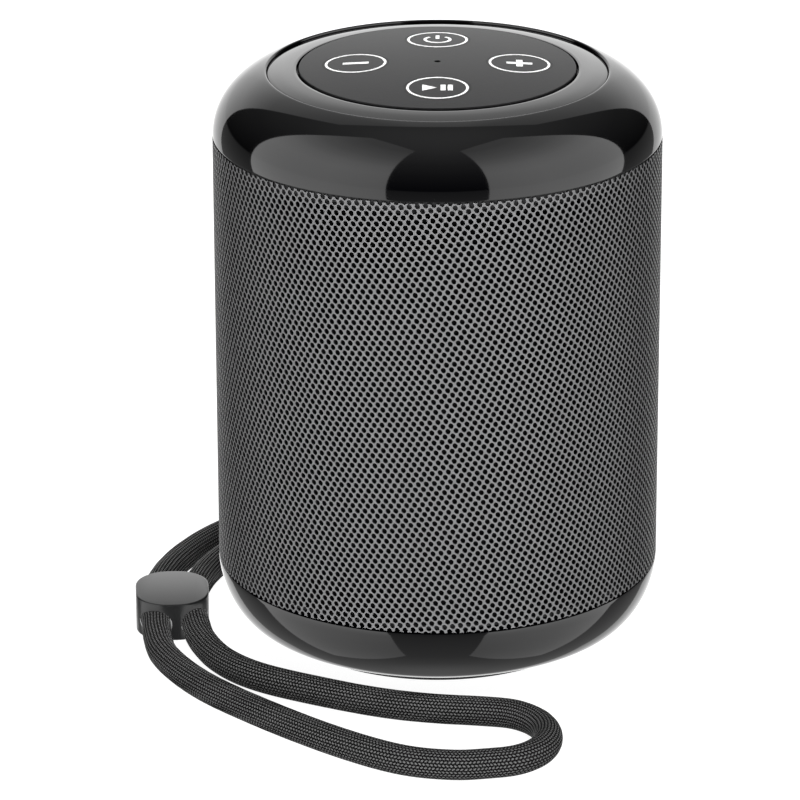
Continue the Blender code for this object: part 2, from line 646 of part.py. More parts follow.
def make_driver():
    """Moving-coil driver; heights run forward from the baffle's face."""
    at = {"location": (0, -BAFFLE_Y, DRIVER_Z), "rotation": (math.pi / 2, 0, 0)}
    rim = DRIVER_R - 1.2 * MM  # inside of the basket's mouth
    ring("driver_gasket", DRIVER_R + 0.7 * MM, DRIVER_HALF - 0.2 * MM, FIT, 1.0 * MM, RUBBER, 24,
         **at)
    flange_low, flange_top = 1.3 * MM, 2.5 * MM
    bowl = [
        (DRIVER_R + 1.5 * MM, flange_top),
        (DRIVER_R + 1.5 * MM, flange_low),
        (DRIVER_R, flange_low),
        (DRIVER_R - 0.8 * MM, -BOWL_RIM_DEPTH),
        (BOWL_BACK_IN + 1.1 * MM, -BOWL_DEPTH),
        (BOWL_BACK_IN + 1.1 * MM, -BOWL_DEPTH - 1.2 * MM),
        (8.0 * MM, -BOWL_DEPTH - 1.2 * MM),
        (8.0 * MM, -BOWL_DEPTH),
        (BOWL_BACK_IN, -BOWL_DEPTH),
        (BOWL_RIM_IN, -BOWL_RIM_DEPTH),
        (rim, flange_low + 0.1 * MM),
        (rim, flange_top),
    ]
    basket = turned("driver_basket", bowl, DARK_METAL, 24, **at)
    ears = extruded("basket_ears", rounded_rectangle(2 * DRIVER_HALF, 2 * DRIVER_HALF, 5 * MM),
                    flange_low + 0.1 * MM, flange_top - 0.1 * MM, None, **at)
    cut(ears, disc("ears_hole", DRIVER_R + 0.8 * MM, 0, 5 * MM, None, 24, **at))
    join(basket, ears)
    reach, half = DRIVER_R + 5 * MM, 4.5 * MM
    cut(
        basket,
        box("basket_slot_x", (-reach, -half, -9.5 * MM), (reach, half, -4.5 * MM), None, **at),
        box("basket_slot_y", (-half, -reach, -9.5 * MM), (half, reach, -4.5 * MM), None, **at),
    )
    for i, (x, z) in enumerate(driver_screw_places()):
        spot = {"location": (x, -BAFFLE_Y, z), "rotation": at["rotation"]}
        cut(basket, disc(f"ear_hole_{i}", 1.35 * MM, 0, 5 * MM, None, 12, **spot))
        head_y = -BAFFLE_Y - flange_top - FIT
        screw(f"driver_screw_{i + 1}", 2.3 * MM, 1.2 * MM, 1.05 * MM, 6.3 * MM,
              location=(x, head_y, z), rotation=at["rotation"])
    ring("driver_front_plate", 7.7 * MM, 12.2 * MM, -15.5 * MM, -13.5 * MM, STEEL, SMALL_STEPS, **at)
    ring("driver_magnet", 8.6 * MM, 12.8 * MM, -20.3 * MM, -15.8 * MM, DARK_METAL, SMALL_STEPS, **at)
    yoke = [
        (0, -12.8 * MM),
        (6.1 * MM, -12.8 * MM),
        (6.1 * MM, -20.6 * MM),
        (12.4 * MM, -20.6 * MM),
        (12.4 * MM, -22.4 * MM),
        (0, -22.4 * MM),
    ]
    turned("driver_yoke", yoke, STEEL, SMALL_STEPS, **at)
    ring("voice_coil", 6.5 * MM, 7.3 * MM, -17.0 * MM, -8.6 * MM, COPPER, SMALL_STEPS, **at)
    make_spider(at)
    cone_r = rim - 1.8 * MM
    cone = [
        (cone_r, 3.2 * MM),
        (cone_r, 2.7 * MM),
        (7.7 * MM, -6.4 * MM),
        (7.7 * MM, -5.7 * MM),
        (cone_r - 0.6 * MM, 3.2 * MM),
    ]
    turned("driver_cone", cone, RUBBER, 24, **at)
    # the cap's edge sits just clear of the cone's slope
    slope = 8.9 * MM / (cone_r - 8.3 * MM)
    seat = -5.7 * MM + 1.2 * MM * slope + FIT
    dome = [
        (0, seat + 2.2 * MM),
        (3.5 * MM, seat + 1.9 * MM),
        (6.5 * MM, seat + 1.1 * MM),
        (8.9 * MM, seat + 0.3 * MM),
        (8.9 * MM, seat),
        (6.4 * MM, seat + 0.7 * MM),
        (3.4 * MM, seat + 1.5 * MM),
        (0, seat + 1.8 * MM),
    ]
    turned("dust_cap", dome, RUBBER, 20, **at)
    make_roll("driver_surround", cone_r + FIT, DRIVER_R + 1.2 * MM, 1.3 * MM,
              flange_top + FIT, at)


def make_spider(at):
    """Corrugated centring disc behind the cone, up to just inside the bowl's wall."""
    inner, depth = 7.7 * MM, 9.0 * MM
    share = (depth - BOWL_RIM_DEPTH) / (BOWL_DEPTH - BOWL_RIM_DEPTH)
    bowl_r = BOWL_RIM_IN + (BOWL_BACK_IN - BOWL_RIM_IN) * share
    pitch = (bowl_r - 0.5 * MM - inner) / 4
    waves = [(inner + i * pitch, -depth + (0.6 * MM if i % 2 else 0)) for i in range(5)]
    top = [(r, z) for r, z in reversed(waves)]
    outline = top + [(r, z + 0.3 * MM) for r, z in waves]
    outline = [(r, z) for r, z in reversed(outline)]
    turned("spider", outline, CARD, SMALL_STEPS, **at)


def make_roll(name, inner, outer, roll_r, height, at):
    """Half-roll rubber edge between a moving diaphragm and its frame."""
    middle = inner + 0.25 * MM + roll_r
    skin = 0.35 * MM
    low, top = height, height + skin
    outline = [(outer, top), (outer, low), (middle + roll_r - skin, low)]
    for i in range(1, 4):
        angle = math.pi * i / 4
        r = middle + (roll_r - skin) * math.cos(angle)
        outline.append((r, low + (roll_r - skin) * math.sin(angle)))
    outline += [(middle - roll_r + skin, low), (inner, low), (inner, top)]
    for i in range(5):
        angle = math.pi * (1 - i / 4)
        outline.append((middle + roll_r * math.cos(angle), top + roll_r * math.sin(angle)))
    turned(name, outline, RUBBER, 24, **at)


def make_radiator():
    """Passive radiator on the rear baffle; heights run backwards from its face."""
    at = {"location": (0, BAFFLE_Y, RADIATOR_Z), "rotation": (-math.pi / 2, 0, 0)}
    top = 2.3 * MM
    frame = extruded("radiator_frame",
                     rounded_rectangle(2 * DRIVER_HALF, 2 * DRIVER_HALF, 5 * MM),
                     FIT, top, MATTE, **at)
    opening = RADIATOR_R + 4.6 * MM
    cut(frame, disc("radiator_opening", opening, -5 * MM, 5 * MM, None, 24, **at))
    disc("radiator_plate", RADIATOR_R, 1.4 * MM, 3.4 * MM, STEEL, 24, **at)
    make_roll("radiator_surround", RADIATOR_R + FIT, opening + 2.8 * MM, 1.9 * MM, top + FIT, at)


def make_battery():
    """One 18650 cell standing in a clip-in holder beside the magnet."""
    place = Vector((-(12.8 * MM + BATTERY_R + FIT), 8.0 * MM, 0))
    z0 = CHASSIS_FLOOR_Z + 2.0 * MM
    z1 = z0 + BATTERY_H
    cell = [
        (0, z1),
        (3.0 * MM, z1),
        (3.0 * MM, z1 - MM),
        (BATTERY_R - 0.6 * MM, z1 - MM),
        (BATTERY_R, z1 - 1.6 * MM),
        (BATTERY_R, z0),
        (0, z0),
    ]
    turned("battery", cell, ((0.02, 0.10, 0.25), 0.4), SMALL_STEPS, location=place)
    holder_r = BATTERY_R + FIT + 1.5 * MM
    holder = disc("battery_holder", holder_r, CHASSIS_FLOOR_Z + FIT, z1 - 8 * MM, MATTE, SMALL_STEPS,
                  location=place)
    cut(
        holder,
        disc("battery_bay", BATTERY_R + FIT, z0 - FIT, z1 + MM, None, SMALL_STEPS, location=place),
        box("battery_mouth", (2.0 * MM, -holder_r - MM, z0 + 5 * MM),
            (holder_r + MM, holder_r + MM, z1 + MM), None, location=place),
    )


def make_ports():
    """Port frame in the rear of the grille, its board and sockets, and the rubber cover."""
    frame = arc_block("port_frame", CHASSIS_IN + FIT, BODY_R, 90 - PORT_HALF_ANGLE,
                      90 + PORT_HALF_ANGLE, PORT_Z0, PORT_Z1, MATTE, 12)
    low, high = PORT_Z0 + COVER_MARGIN, PORT_Z1 - COVER_MARGIN
    usb = rounded_rectangle(9.6 * MM, 3.8 * MM, 1.6 * MM)
    turn = (-math.pi / 2, 0, 0)
    cut(
        frame,
        arc_block("cover_recess", PORT_FACE_R, BODY_R + MM, 90 - COVER_HALF_ANGLE - 0.45,
                  90 + COVER_HALF_ANGLE + COVER_RELIEF, low - FIT, high + FIT, None, 12),
        extruded("usb_opening", usb, 0, BODY_R + MM, None, rotation=turn,
                 location=(USB_X, 0, PORT_MID_Z)),
        disc("aux_opening", 3.2 * MM, 0, BODY_R + MM, None, 20, rotation=turn,
             location=(AUX_X, 0, PORT_MID_Z)),
    )
    board_y = BAFFLE_Y - 1.7 * MM + FIT
    half = 11.0 * MM
    box("port_board", (-half, board_y, CHASSIS_Z0), (half, board_y + BOARD_WALL, PORT_Z1 - MM),
        BOARD_GREEN)
    front = board_y + BOARD_WALL + FIT
    end = math.sqrt((CHASSIS_IN + FIT) ** 2 - (AUX_X + 3.2 * MM) ** 2) - FIT
    socket = rounded_rectangle(9.0 * MM, 3.2 * MM, 1.4 * MM)
    usb_socket = extruded("usb_socket", socket, front, end, STEEL, rotation=turn,
                          location=(USB_X, 0, PORT_MID_Z))
    mouth = rounded_rectangle(8.2 * MM, 2.4 * MM, 1.1 * MM)
    cut(usb_socket, extruded("usb_mouth", mouth, front + 1.5 * MM, end + MM, None,
                             rotation=turn, location=(USB_X, 0, PORT_MID_Z)))
    aux_socket = disc("aux_socket", 3.1 * MM, front, end, MATTE, 20, rotation=turn,
                      location=(AUX_X, 0, PORT_MID_Z))
    cut(aux_socket, disc("aux_bore", 1.75 * MM, front + 1.5 * MM, end + MM, None, 16,
                         rotation=turn, location=(AUX_X, 0, PORT_MID_Z)))
    hinge = polar(COVER_R, 90 + COVER_HALF_ANGLE)
    cover = arc_block("port_cover", COVER_R, BODY_R, 90 - COVER_HALF_ANGLE,
                      90 + COVER_HALF_ANGLE, low, high, RUBBER, 12)
    plug_face = COVER_R + 0.5 * MM
    join(
        cover,
        extruded("usb_plug", rounded_rectangle(8.0 * MM, 2.4 * MM, 1.1 * MM),
                 PORT_FACE_R - 1.4 * MM, plug_face, None, rotation=turn,
                 location=(USB_X, 0, PORT_MID_Z)),
        disc("aux_plug", 2.3 * MM, PORT_FACE_R - 2.0 * MM, plug_face - 0.7 * MM, None, 16,
             rotation=turn, location=(AUX_X, 0, PORT_MID_Z)),
    )
    set_origin(cover, hinge)


def set_origin(obj, place):
    """Move the object's origin without moving its mesh."""
    for vert in obj.data.vertices:
        vert.co -= Vector(place)
    obj.location = place


# ---------------------------------------------------------------- base


def base_outline():
    """Outside of the lower shell from its upper edge down to its underside."""
    height = BASE_TOP_Z - BASE_CORNER_Z
    power = 2 / BASE_POWER
    points = []
    for i in range(8):
        angle = math.pi / 2 * i / 7
        r = BODY_R - BASE_W + BASE_W * math.cos(angle) ** power
        points.append((r, BASE_TOP_Z - height * math.sin(angle) ** power))
    corner = BODY_R - BASE_W
    foot_gap = FOOT_R + FIT
    points += [
        (corner - 0.45 * (corner - foot_gap), BASE_Z + 0.65 * MM),
        (corner - 0.8 * (corner - foot_gap), BASE_Z + 0.1 * MM),
        (foot_gap, BASE_Z),
    ]
    return points


def pin_place():
    return polar(BODY_R - PIN_INSET, PIN_ANGLE)


def make_base():
    """Lower shell, its seal, the ring that it stands on, and its screws."""
    foot_in = FOOT_R - FOOT_W
    groove = FOOT_H + FIT
    outline = base_outline()
    outline += [(FOOT_R + FIT, groove), (foot_in - FIT, groove), (foot_in - FIT, BASE_Z)]
    outline += [
        (0, BASE_Z),
        (0, BASE_FLOOR_Z),
        (BODY_R - 9.4 * MM, BASE_FLOOR_Z),
        (BODY_R - 6.0 * MM, 6.4 * MM),
        (BODY_R - 4.0 * MM, 9.0 * MM),
        (BODY_R - 2.8 * MM, BASE_TOP_Z - 2.4 * MM),
        (BODY_R - 4.4 * MM, BASE_TOP_Z - 1.6 * MM),
        (BODY_R - 4.4 * MM, BASE_TOP_Z),
    ]
    start = outline.index((0, BASE_Z))
    outline = outline[start + 1:] + outline[: start + 1]
    shell = turned("bottom_shell", outline, BLACK)
    pin = pin_place()
    out = math.radians(PIN_ANGLE)
    depth = 1.6 * MM + PIN_R + EYE_WALL
    block_half = POCKET_HALF_W + 2.2 * MM
    inward = pin.length - depth - 2.0 * MM
    block = box("pin_block", (inward, -block_half, BASE_FLOOR_Z - MM),
                (BODY_R, block_half, POCKET_Z1 + 1.6 * MM), None, rotation=(0, 0, out))
    skin = [(r - 0.5 * MM, z) for r, z in base_outline()]
    boolean(block, turned("block_limit", [(0, BASE_TOP_Z), *skin, (0, BASE_Z)], None),
            "INTERSECT")
    join(shell, block)
    cut(shell, box("pin_pocket", (pin.length - depth, -POCKET_HALF_W, POCKET_Z0),
                   (BODY_R + 5 * MM, POCKET_HALF_W, POCKET_Z1), None, rotation=(0, 0, out)))
    cut(shell, disc("pin_hole", PIN_R + 0.15 * MM, POCKET_Z0 - 1.0 * MM, POCKET_Z1 + 1.0 * MM,
                    None, 12, location=pin))
    for i, place in enumerate(boss_places()):
        outline = [
            (0, BASE_FLOOR_Z + MM),
            (1.6 * MM, BASE_FLOOR_Z + MM),
            (1.6 * MM, 3.3 * MM),
            (3.0 * MM, 3.3 * MM),
            (3.0 * MM, -MM),
            (0, -MM),
        ]
        cut(shell, turned(f"foot_screw_hole_{i}", outline, None, 12, location=place))
        screw(f"bottom_screw_{i + 1}", 2.6 * MM, 1.3 * MM, SCREW_R, 9.6 * MM,
              location=place + Vector((0, 0, 3.0 * MM)), rotation=(math.pi, 0, 0))
    ring("foot_ring", foot_in, FOOT_R, 0, FOOT_H, RUBBER)
    ring("bottom_seal", CHASSIS_IN + 0.3 * MM, CHASSIS_R - 0.3 * MM, BASE_TOP_Z + FIT,
         CHASSIS_Z0 - FIT, RUBBER)
    disc("strap_pin", PIN_R, POCKET_Z0 - 0.8 * MM, POCKET_Z1 + 0.8 * MM, STEEL, 12, location=pin)


def make_main_board():
    z0, z1 = MAIN_BOARD_Z, MAIN_BOARD_Z + MAIN_BOARD_WALL
    board = disc("main_board", 29.0 * MM, z0, z1, BOARD_GREEN, 32)
    for i, place in enumerate(boss_places()):
        cut(board, disc(f"boss_clearance_{i}", BOSS_R + FIT, z0 - MM, z1 + MM, None, 14,
                        location=place))
    chips = {
        "amplifier_chip": (-6.0, -14.0, 7.0, 7.0, 1.4),
        "radio_chip": (-17.0, 4.0, 10.0, 8.0, 1.8),
        "charger_chip": (8.0, 8.0, 5.0, 5.0, 1.2),
        "coil_a": (9.0, -12.0, 6.0, 6.0, 3.2),
        "coil_b": (9.0, -3.0, 6.0, 6.0, 3.2),
    }
    for name, (x, y, width, depth, height) in chips.items():
        low = (x * MM, y * MM, z1 - 0.3 * MM)
        high = ((x + width) * MM, (y + depth) * MM, z1 + height * MM)
        join(board, box(name, low, high, None))


# ---------------------------------------------------------------- strap


def make_strap():
    """Clamp on the pin, the cord's long loop, and the slider on both strands."""
    pin = pin_place()
    swing = pivot("strap_swing", pin)
    clamp_mid = polar(SLIDER_R, CLAMP_ANGLE)
    turn = math.radians(CLAMP_ANGLE)
    top = FLOOR_FIT + CLAMP_H
    clamp = extruded("strap_clamp", rounded_rectangle(STRAP_W, CLAMP_LENGTH, 2.2 * MM),
                     FLOOR_FIT, top, RUBBER, location=clamp_mid - pin, rotation=(0, 0, turn),
                     parent=swing)
    bevel(clamp, 0.5 * MM)
    eye_z0, eye_z1 = POCKET_Z0 + FIT, top - 0.4 * MM
    eye_r = PIN_R + FIT + EYE_WALL
    reach = clamp_mid - pin
    neck_turn = math.atan2(reach.y, reach.x)
    join(
        clamp,
        disc("clamp_eye", eye_r, eye_z0, eye_z1, None, 20, location=pin),
        box("clamp_neck", (0, -1.6 * MM, eye_z0 + 0.1 * MM),
            (reach.length - 2 * MM, 1.6 * MM, eye_z1 - 0.1 * MM), None, location=pin,
            rotation=(0, 0, neck_turn)),
    )
    cut(clamp, disc("eye_hole", PIN_R + FIT, 0, 2 * top, None, 16, location=pin))

    curve = bpy.data.curves.new("strap_cord", "CURVE")
    curve.dimensions = "3D"
    curve.bevel_depth = CORD_R
    curve.bevel_resolution = 3
    curve.use_fill_caps = True
    spline = curve.splines.new("POLY")
    route = smooth_route(CORD_ROUTE, CORD_STEP)
    spline.points.add(len(route) - 1)
    for point, place in zip(spline.points, route):
        point.co = (*(place - pin), 1.0)
    curve.materials.append(finish("strap_cord", *RUBBER))
    cord = bpy.data.objects.new("strap_cord", curve)
    cord.parent = swing
    bpy.context.scene.collection.objects.link(cord)

    place = polar(SLIDER_R, SLIDER_ANGLE)
    outline = rounded_rectangle(STRAP_W, SLIDER_LENGTH, 4.4 * MM, 5)
    turn = math.radians(SLIDER_ANGLE)
    turned_outline = [
        (
            place.x + x * math.cos(turn) - y * math.sin(turn),
            place.y + x * math.sin(turn) + y * math.cos(turn),
        )
        for x, y in outline
    ]
    slider = extruded("cord_slider", turned_outline, FLOOR_FIT, FLOOR_FIT + SLIDER_H, MATTE,
                      location=-pin, parent=swing)
    bevel(slider, 0.5 * MM)
    for name, radius in (("outer_strand_hole", STRAND_OUT_R), ("inner_strand_hole", STRAND_IN_R)):
        cut(slider, arc_rod(name, radius, SLIDER_HOLE_R, STRAND_Z, SLIDER_ANGLE - 15,
                            SLIDER_ANGLE + 15, None))


def main():
    clear_scene()
    make_top_shell()
    make_bezel()
    make_pad()
    make_keys()
    make_key_board()
    make_lid()
    make_grille()
    make_chassis()
    make_driver()
    make_radiator()
    make_battery()
    make_ports()
    make_base()
    make_main_board()
    make_strap()


main()
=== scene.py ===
# Portable round speaker with a braided wrist strap, standing on a pale table
import math

import bmesh
import bpy
import numpy as np
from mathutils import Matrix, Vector


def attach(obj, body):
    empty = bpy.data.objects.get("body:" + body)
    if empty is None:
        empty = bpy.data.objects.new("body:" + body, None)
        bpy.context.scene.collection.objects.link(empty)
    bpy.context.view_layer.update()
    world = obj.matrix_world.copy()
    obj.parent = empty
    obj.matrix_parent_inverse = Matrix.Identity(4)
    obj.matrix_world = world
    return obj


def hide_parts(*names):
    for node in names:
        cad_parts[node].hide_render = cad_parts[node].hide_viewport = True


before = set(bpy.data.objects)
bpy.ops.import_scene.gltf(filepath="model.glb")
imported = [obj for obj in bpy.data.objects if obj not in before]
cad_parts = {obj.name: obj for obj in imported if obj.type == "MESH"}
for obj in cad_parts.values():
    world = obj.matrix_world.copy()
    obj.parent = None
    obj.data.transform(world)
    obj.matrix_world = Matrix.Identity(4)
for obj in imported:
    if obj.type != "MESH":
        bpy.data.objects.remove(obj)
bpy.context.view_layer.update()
mm = 0.001
print("frame loaded")


def linear(hexText):
    # an sRGB hex colour as linear numbers
    parts = [int(hexText[i:i + 2], 16) / 255 for i in (1, 3, 5)]
    return tuple(p / 12.92 if p <= 0.04045 else ((p + 0.055) / 1.055) ** 2.4 for p in parts) + (1.0,)


def addNode(tree, kind, settings=None, links=None):
    # settings are the node's own fields or its inputs, links go from a socket into an input
    made = tree.nodes.new("ShaderNode" + kind)
    for key, value in (settings or {}).items():
        if isinstance(key, str) and key not in made.inputs:
            setattr(made, key, value)
        else:
            made.inputs[key].default_value = value
    for key, socket in (links or {}).items():
        tree.links.new(socket, made.inputs[key])
    return made


def calc(tree, operation, *terms):
    # a math node, each term a number or a socket
    made = addNode(tree, "Math", {"operation": operation})
    for i, term in enumerate(terms):
        if isinstance(term, (int, float)):
            made.inputs[i].default_value = term
        else:
            tree.links.new(term, made.inputs[i])
    return made.outputs[0]


def newMaterial(name, colour, roughness, **more):
    made = bpy.data.materials.new(name)
    made.use_nodes = True
    tree = made.node_tree
    shader = tree.nodes["Principled BSDF"]
    shader.inputs["Base Color"].default_value = linear(colour)
    shader.inputs["Roughness"].default_value = roughness
    for key, value in more.items():
        shader.inputs[key.replace("_", " ")].default_value = value
    return made, tree, shader


def addGrain(tree, where, scale, low, high, bump=None, detail=2.0, spread=(0.3, 0.7)):
    # noise between two tones on the colour, and a bump of (strength, depth) from the same noise
    shader = tree.nodes["Principled BSDF"]
    grain = addNode(tree, "TexNoise", {"Scale": scale, "Detail": detail}, {"Vector": where})
    tone = addNode(tree, "ValToRGB", None, {"Fac": grain.outputs["Fac"]})
    for element, place, colour in zip(tone.color_ramp.elements, spread, (low, high)):
        element.position = place
        element.color = linear(colour)
    tree.links.new(tone.outputs[0], shader.inputs["Base Color"])
    if bump:
        raised = addNode(tree, "Bump", {"Strength": bump[0], "Distance": bump[1]},
                         {"Height": grain.outputs["Fac"]})
        tree.links.new(raised.outputs[0], shader.inputs["Normal"])
    return tone.outputs[0]


def makeActive(obj):
    bpy.ops.object.select_all(action="DESELECT")
    obj.select_set(True)
    bpy.context.view_layer.objects.active = obj


def startEdit():
    # edit mode on the active object, with all of it selected
    bpy.context.tool_settings.mesh_select_mode = (True, False, False)
    bpy.ops.object.mode_set(mode="EDIT")
    bpy.ops.mesh.select_all(action="SELECT")


def pick(test, kind="verts"):
    # selects what passes the test and nothing else
    mesh = bmesh.from_edit_mesh(bpy.context.object.data)
    bpy.context.tool_settings.mesh_select_mode = (kind == "verts", kind == "edges", kind == "faces")
    mesh.select_mode = {kind[:-1].upper()}
    for item in getattr(mesh, kind):
        item.select_set(bool(test(item)))
    mesh.select_flush_mode()
    bmesh.update_edit_mesh(bpy.context.object.data)


def endEdit(angle=30):
    # outward normals, then soft shading except over sharp edges
    bpy.ops.mesh.select_all(action="SELECT")
    bpy.ops.mesh.normals_make_consistent(inside=False)
    bpy.ops.object.mode_set(mode="OBJECT")
    bpy.ops.object.shade_smooth_by_angle(angle=math.radians(angle))
    return bpy.context.object


def named(name):
    obj = bpy.context.object
    obj.name = name
    obj.data.name = name
    return obj


def turnedPiece(name, profile, steps, centre=(0, 0)):
    # a circle extruded and scaled through a profile of (radius, height) in mm
    onAxis = profile[0][0] == 0
    rings = profile[1:] if onAxis else profile
    x, y = centre[0] * mm, centre[1] * mm
    bpy.ops.mesh.primitive_circle_add(vertices=steps, radius=rings[0][0] * mm,
                                      location=(x, y, rings[0][1] * mm))
    bpy.ops.object.transform_apply()
    named(name)
    startEdit()
    for (r0, z0), (r1, z1) in zip(rings, rings[1:]):
        bpy.ops.mesh.extrude_region_move(TRANSFORM_OT_translate={"value": (0, 0, (z1 - z0) * mm)})
        if r1 == 0:
            bpy.ops.mesh.merge(type="CENTER")
        elif r1 != r0:
            bpy.ops.transform.resize(value=(r1 / r0, r1 / r0, 1), center_override=(x, y, z1 * mm))
    if onAxis:
        pick(lambda v: v.index < steps)
        bpy.ops.mesh.extrude_region_move(
            TRANSFORM_OT_translate={"value": (0, 0, (profile[0][1] - rings[0][1]) * mm)})
        bpy.ops.mesh.merge(type="CENTER")
    elif profile[-1][0] != 0:
        pick(lambda e: e.is_boundary, "edges")
        bpy.ops.mesh.bridge_edge_loops()
    return endEdit()


def applyModifier(obj, kind, **settings):
    makeActive(obj)
    mod = obj.modifiers.new(kind.lower(), kind)
    for key, value in settings.items():
        setattr(mod, key, value)
    bpy.ops.object.modifier_apply(modifier=mod.name)
    return obj


def carve(obj, tools, operation="DIFFERENCE"):
    for tool in tools:
        applyModifier(obj, "BOOLEAN", object=tool, operation=operation, solver="EXACT")
        bpy.data.objects.remove(tool, do_unlink=True)
    return obj


def smoothAgain(obj, angle=30):
    makeActive(obj)
    bpy.ops.object.shade_smooth_by_angle(angle=math.radians(angle))
    return obj


def roundTool(radius, z0, z1, centre=(0, 0), steps=32):
    # a plain cylinder used only to cut with
    bpy.ops.mesh.primitive_cylinder_add(vertices=steps, radius=radius * mm, depth=(z1 - z0) * mm,
                                        location=(centre[0] * mm, centre[1] * mm, (z0 + z1) / 2 * mm))
    bpy.ops.object.transform_apply()
    return bpy.context.object


def polar(radius, degrees):
    return (radius * math.cos(math.radians(degrees)), radius * math.sin(math.radians(degrees)))


def finishPiece(obj, body, material, nodes=()):
    obj.data.materials.clear()
    obj.data.materials.append(material)
    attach(obj, body)
    if nodes:
        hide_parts(*nodes)
    return obj


# camera
view = {"lens": 224.07, "sensor": 36.0, "place": (0, -0.8859, 0.3832), "aim": (0, 0, 0.04494),
        "shiftX": -0.0469}
cameraData = bpy.data.cameras.new("camera")
cameraData.lens = view["lens"]
cameraData.sensor_width = view["sensor"]
cameraData.shift_x = view["shiftX"]
cameraData.clip_start = 0.01
camera = bpy.data.objects.new("camera", cameraData)
camera.location = view["place"]
camera.rotation_euler = (Vector(view["aim"]) - Vector(view["place"])).to_track_quat("-Z", "Y").to_euler()
bpy.context.scene.collection.objects.link(camera)
bpy.context.scene.camera = camera
bpy.context.scene.view_settings.view_transform = "Standard"
print("camera placed")


def makePianoBlack():
    # gloss ABS, moulded in a polished tool: deep black, and its mirror is a little soft
    made, tree, shader = newMaterial("pianoBlackAbs", "#020203", 0.05, IOR=1.5)
    where = addNode(tree, "TexCoord")
    # polish varies over patches of about 9 mm
    patch = addNode(tree, "TexNoise", {"Scale": 110.0, "Detail": 3.0}, {"Vector": where.outputs["Object"]})
    polish = addNode(tree, "MapRange", {"To Min": 0.035, "To Max": 0.065}, {0: patch.outputs["Fac"]})
    tree.links.new(polish.outputs[0], shader.inputs["Roughness"])
    # a flow ripple about 5 mm long, far under a micron deep
    ripple = addNode(tree, "TexNoise", {"Scale": 190.0, "Detail": 1.0}, {"Vector": where.outputs["Object"]})
    bump = addNode(tree, "Bump", {"Strength": 0.06, "Distance": 0.00001}, {"Height": ripple.outputs["Fac"]})
    tree.links.new(bump.outputs[0], shader.inputs["Normal"])
    return made


def makeSoftTouch():
    # silicone skin, spark-eroded: dark, matt, with a grain as fine as sand
    made, tree = newMaterial("softTouchSilicone", "#1c1c1d", 0.42, IOR=1.45, Specular_IOR_Level=0.13)[:2]
    where = addNode(tree, "TexCoord").outputs["Object"]
    # grains of 0.3 mm, as fine as the render shows
    addGrain(tree, where, 3300.0, "#19191a", "#202021", (0.5, 0.00004))
    return made


def makeWhiteInk():
    # pad-printed white ink: flat, clean white, a little uneven up close, with a painted glow from its
    # emission
    made, tree, shader = newMaterial("padPrintedInk", "#f6f6f4", 0.55, Emission_Strength=0.5)
    shader.inputs["Emission Color"].default_value = (1, 1, 1, 1)
    where = addNode(tree, "TexCoord").outputs["Object"]
    addGrain(tree, where, 2500.0, "#f0f0ee", "#ffffff", spread=(0.0, 1.0))
    return made


def makePowderCoat():
    # steel sheet, powder coated and then punched: dull grey face, with painted shade on the walls inside the
    # holes
    made, tree, shader = newMaterial("powderCoatedSteel", "#747475", 0.34, Specular_IOR_Level=0.09)
    where = addNode(tree, "TexCoord")
    # coat grain of about 0.25 mm
    tone = addGrain(tree, where.outputs["Object"], 4000.0, "#6a6a6b", "#7c7c7d", (0.3, 0.00003))
    # how far a face looks straight out of the cylinder; faces that look sideways, the hole walls, get painted
    # shade
    flat = addNode(tree, "VectorMath", {"operation": "MULTIPLY", 1: (1, 1, 0)},
                   {0: where.outputs["Object"]})
    out = addNode(tree, "VectorMath", {"operation": "NORMALIZE"}, {0: flat.outputs[0]})
    straight = addNode(tree, "VectorMath", {"operation": "DOT_PRODUCT"},
                       {0: where.outputs["Normal"], 1: out.outputs[0]})
    face = addNode(tree, "MapRange", {"From Min": 0.3, "From Max": 0.9, "To Min": 0.04, "To Max": 1.0},
                   {0: straight.outputs["Value"]})
    shade = addNode(tree, "MixRGB", {"Color1": (0, 0, 0, 1)}, {"Fac": face.outputs[0], "Color2": tone})
    tree.links.new(shade.outputs[0], shader.inputs["Base Color"])
    return made


def makeAcousticCloth():
    # black acoustic cloth, plain woven: swallows the light behind the holes
    made, tree, shader = newMaterial("wovenAcousticCloth", "#080808", 0.95, Specular_IOR_Level=0.02)
    where = addNode(tree, "TexCoord")
    # threads 0.4 mm apart
    threads = addNode(tree, "TexWave", {"Scale": 800.0, "bands_direction": "Z"},
                      {"Vector": where.outputs["Object"]})
    tone = addNode(tree, "ValToRGB", None, {"Fac": threads.outputs["Fac"]})
    tone.color_ramp.elements[0].color = linear("#040404")
    tone.color_ramp.elements[1].color = linear("#0c0c0c")
    tree.links.new(tone.outputs[0], shader.inputs["Base Color"])
    return made


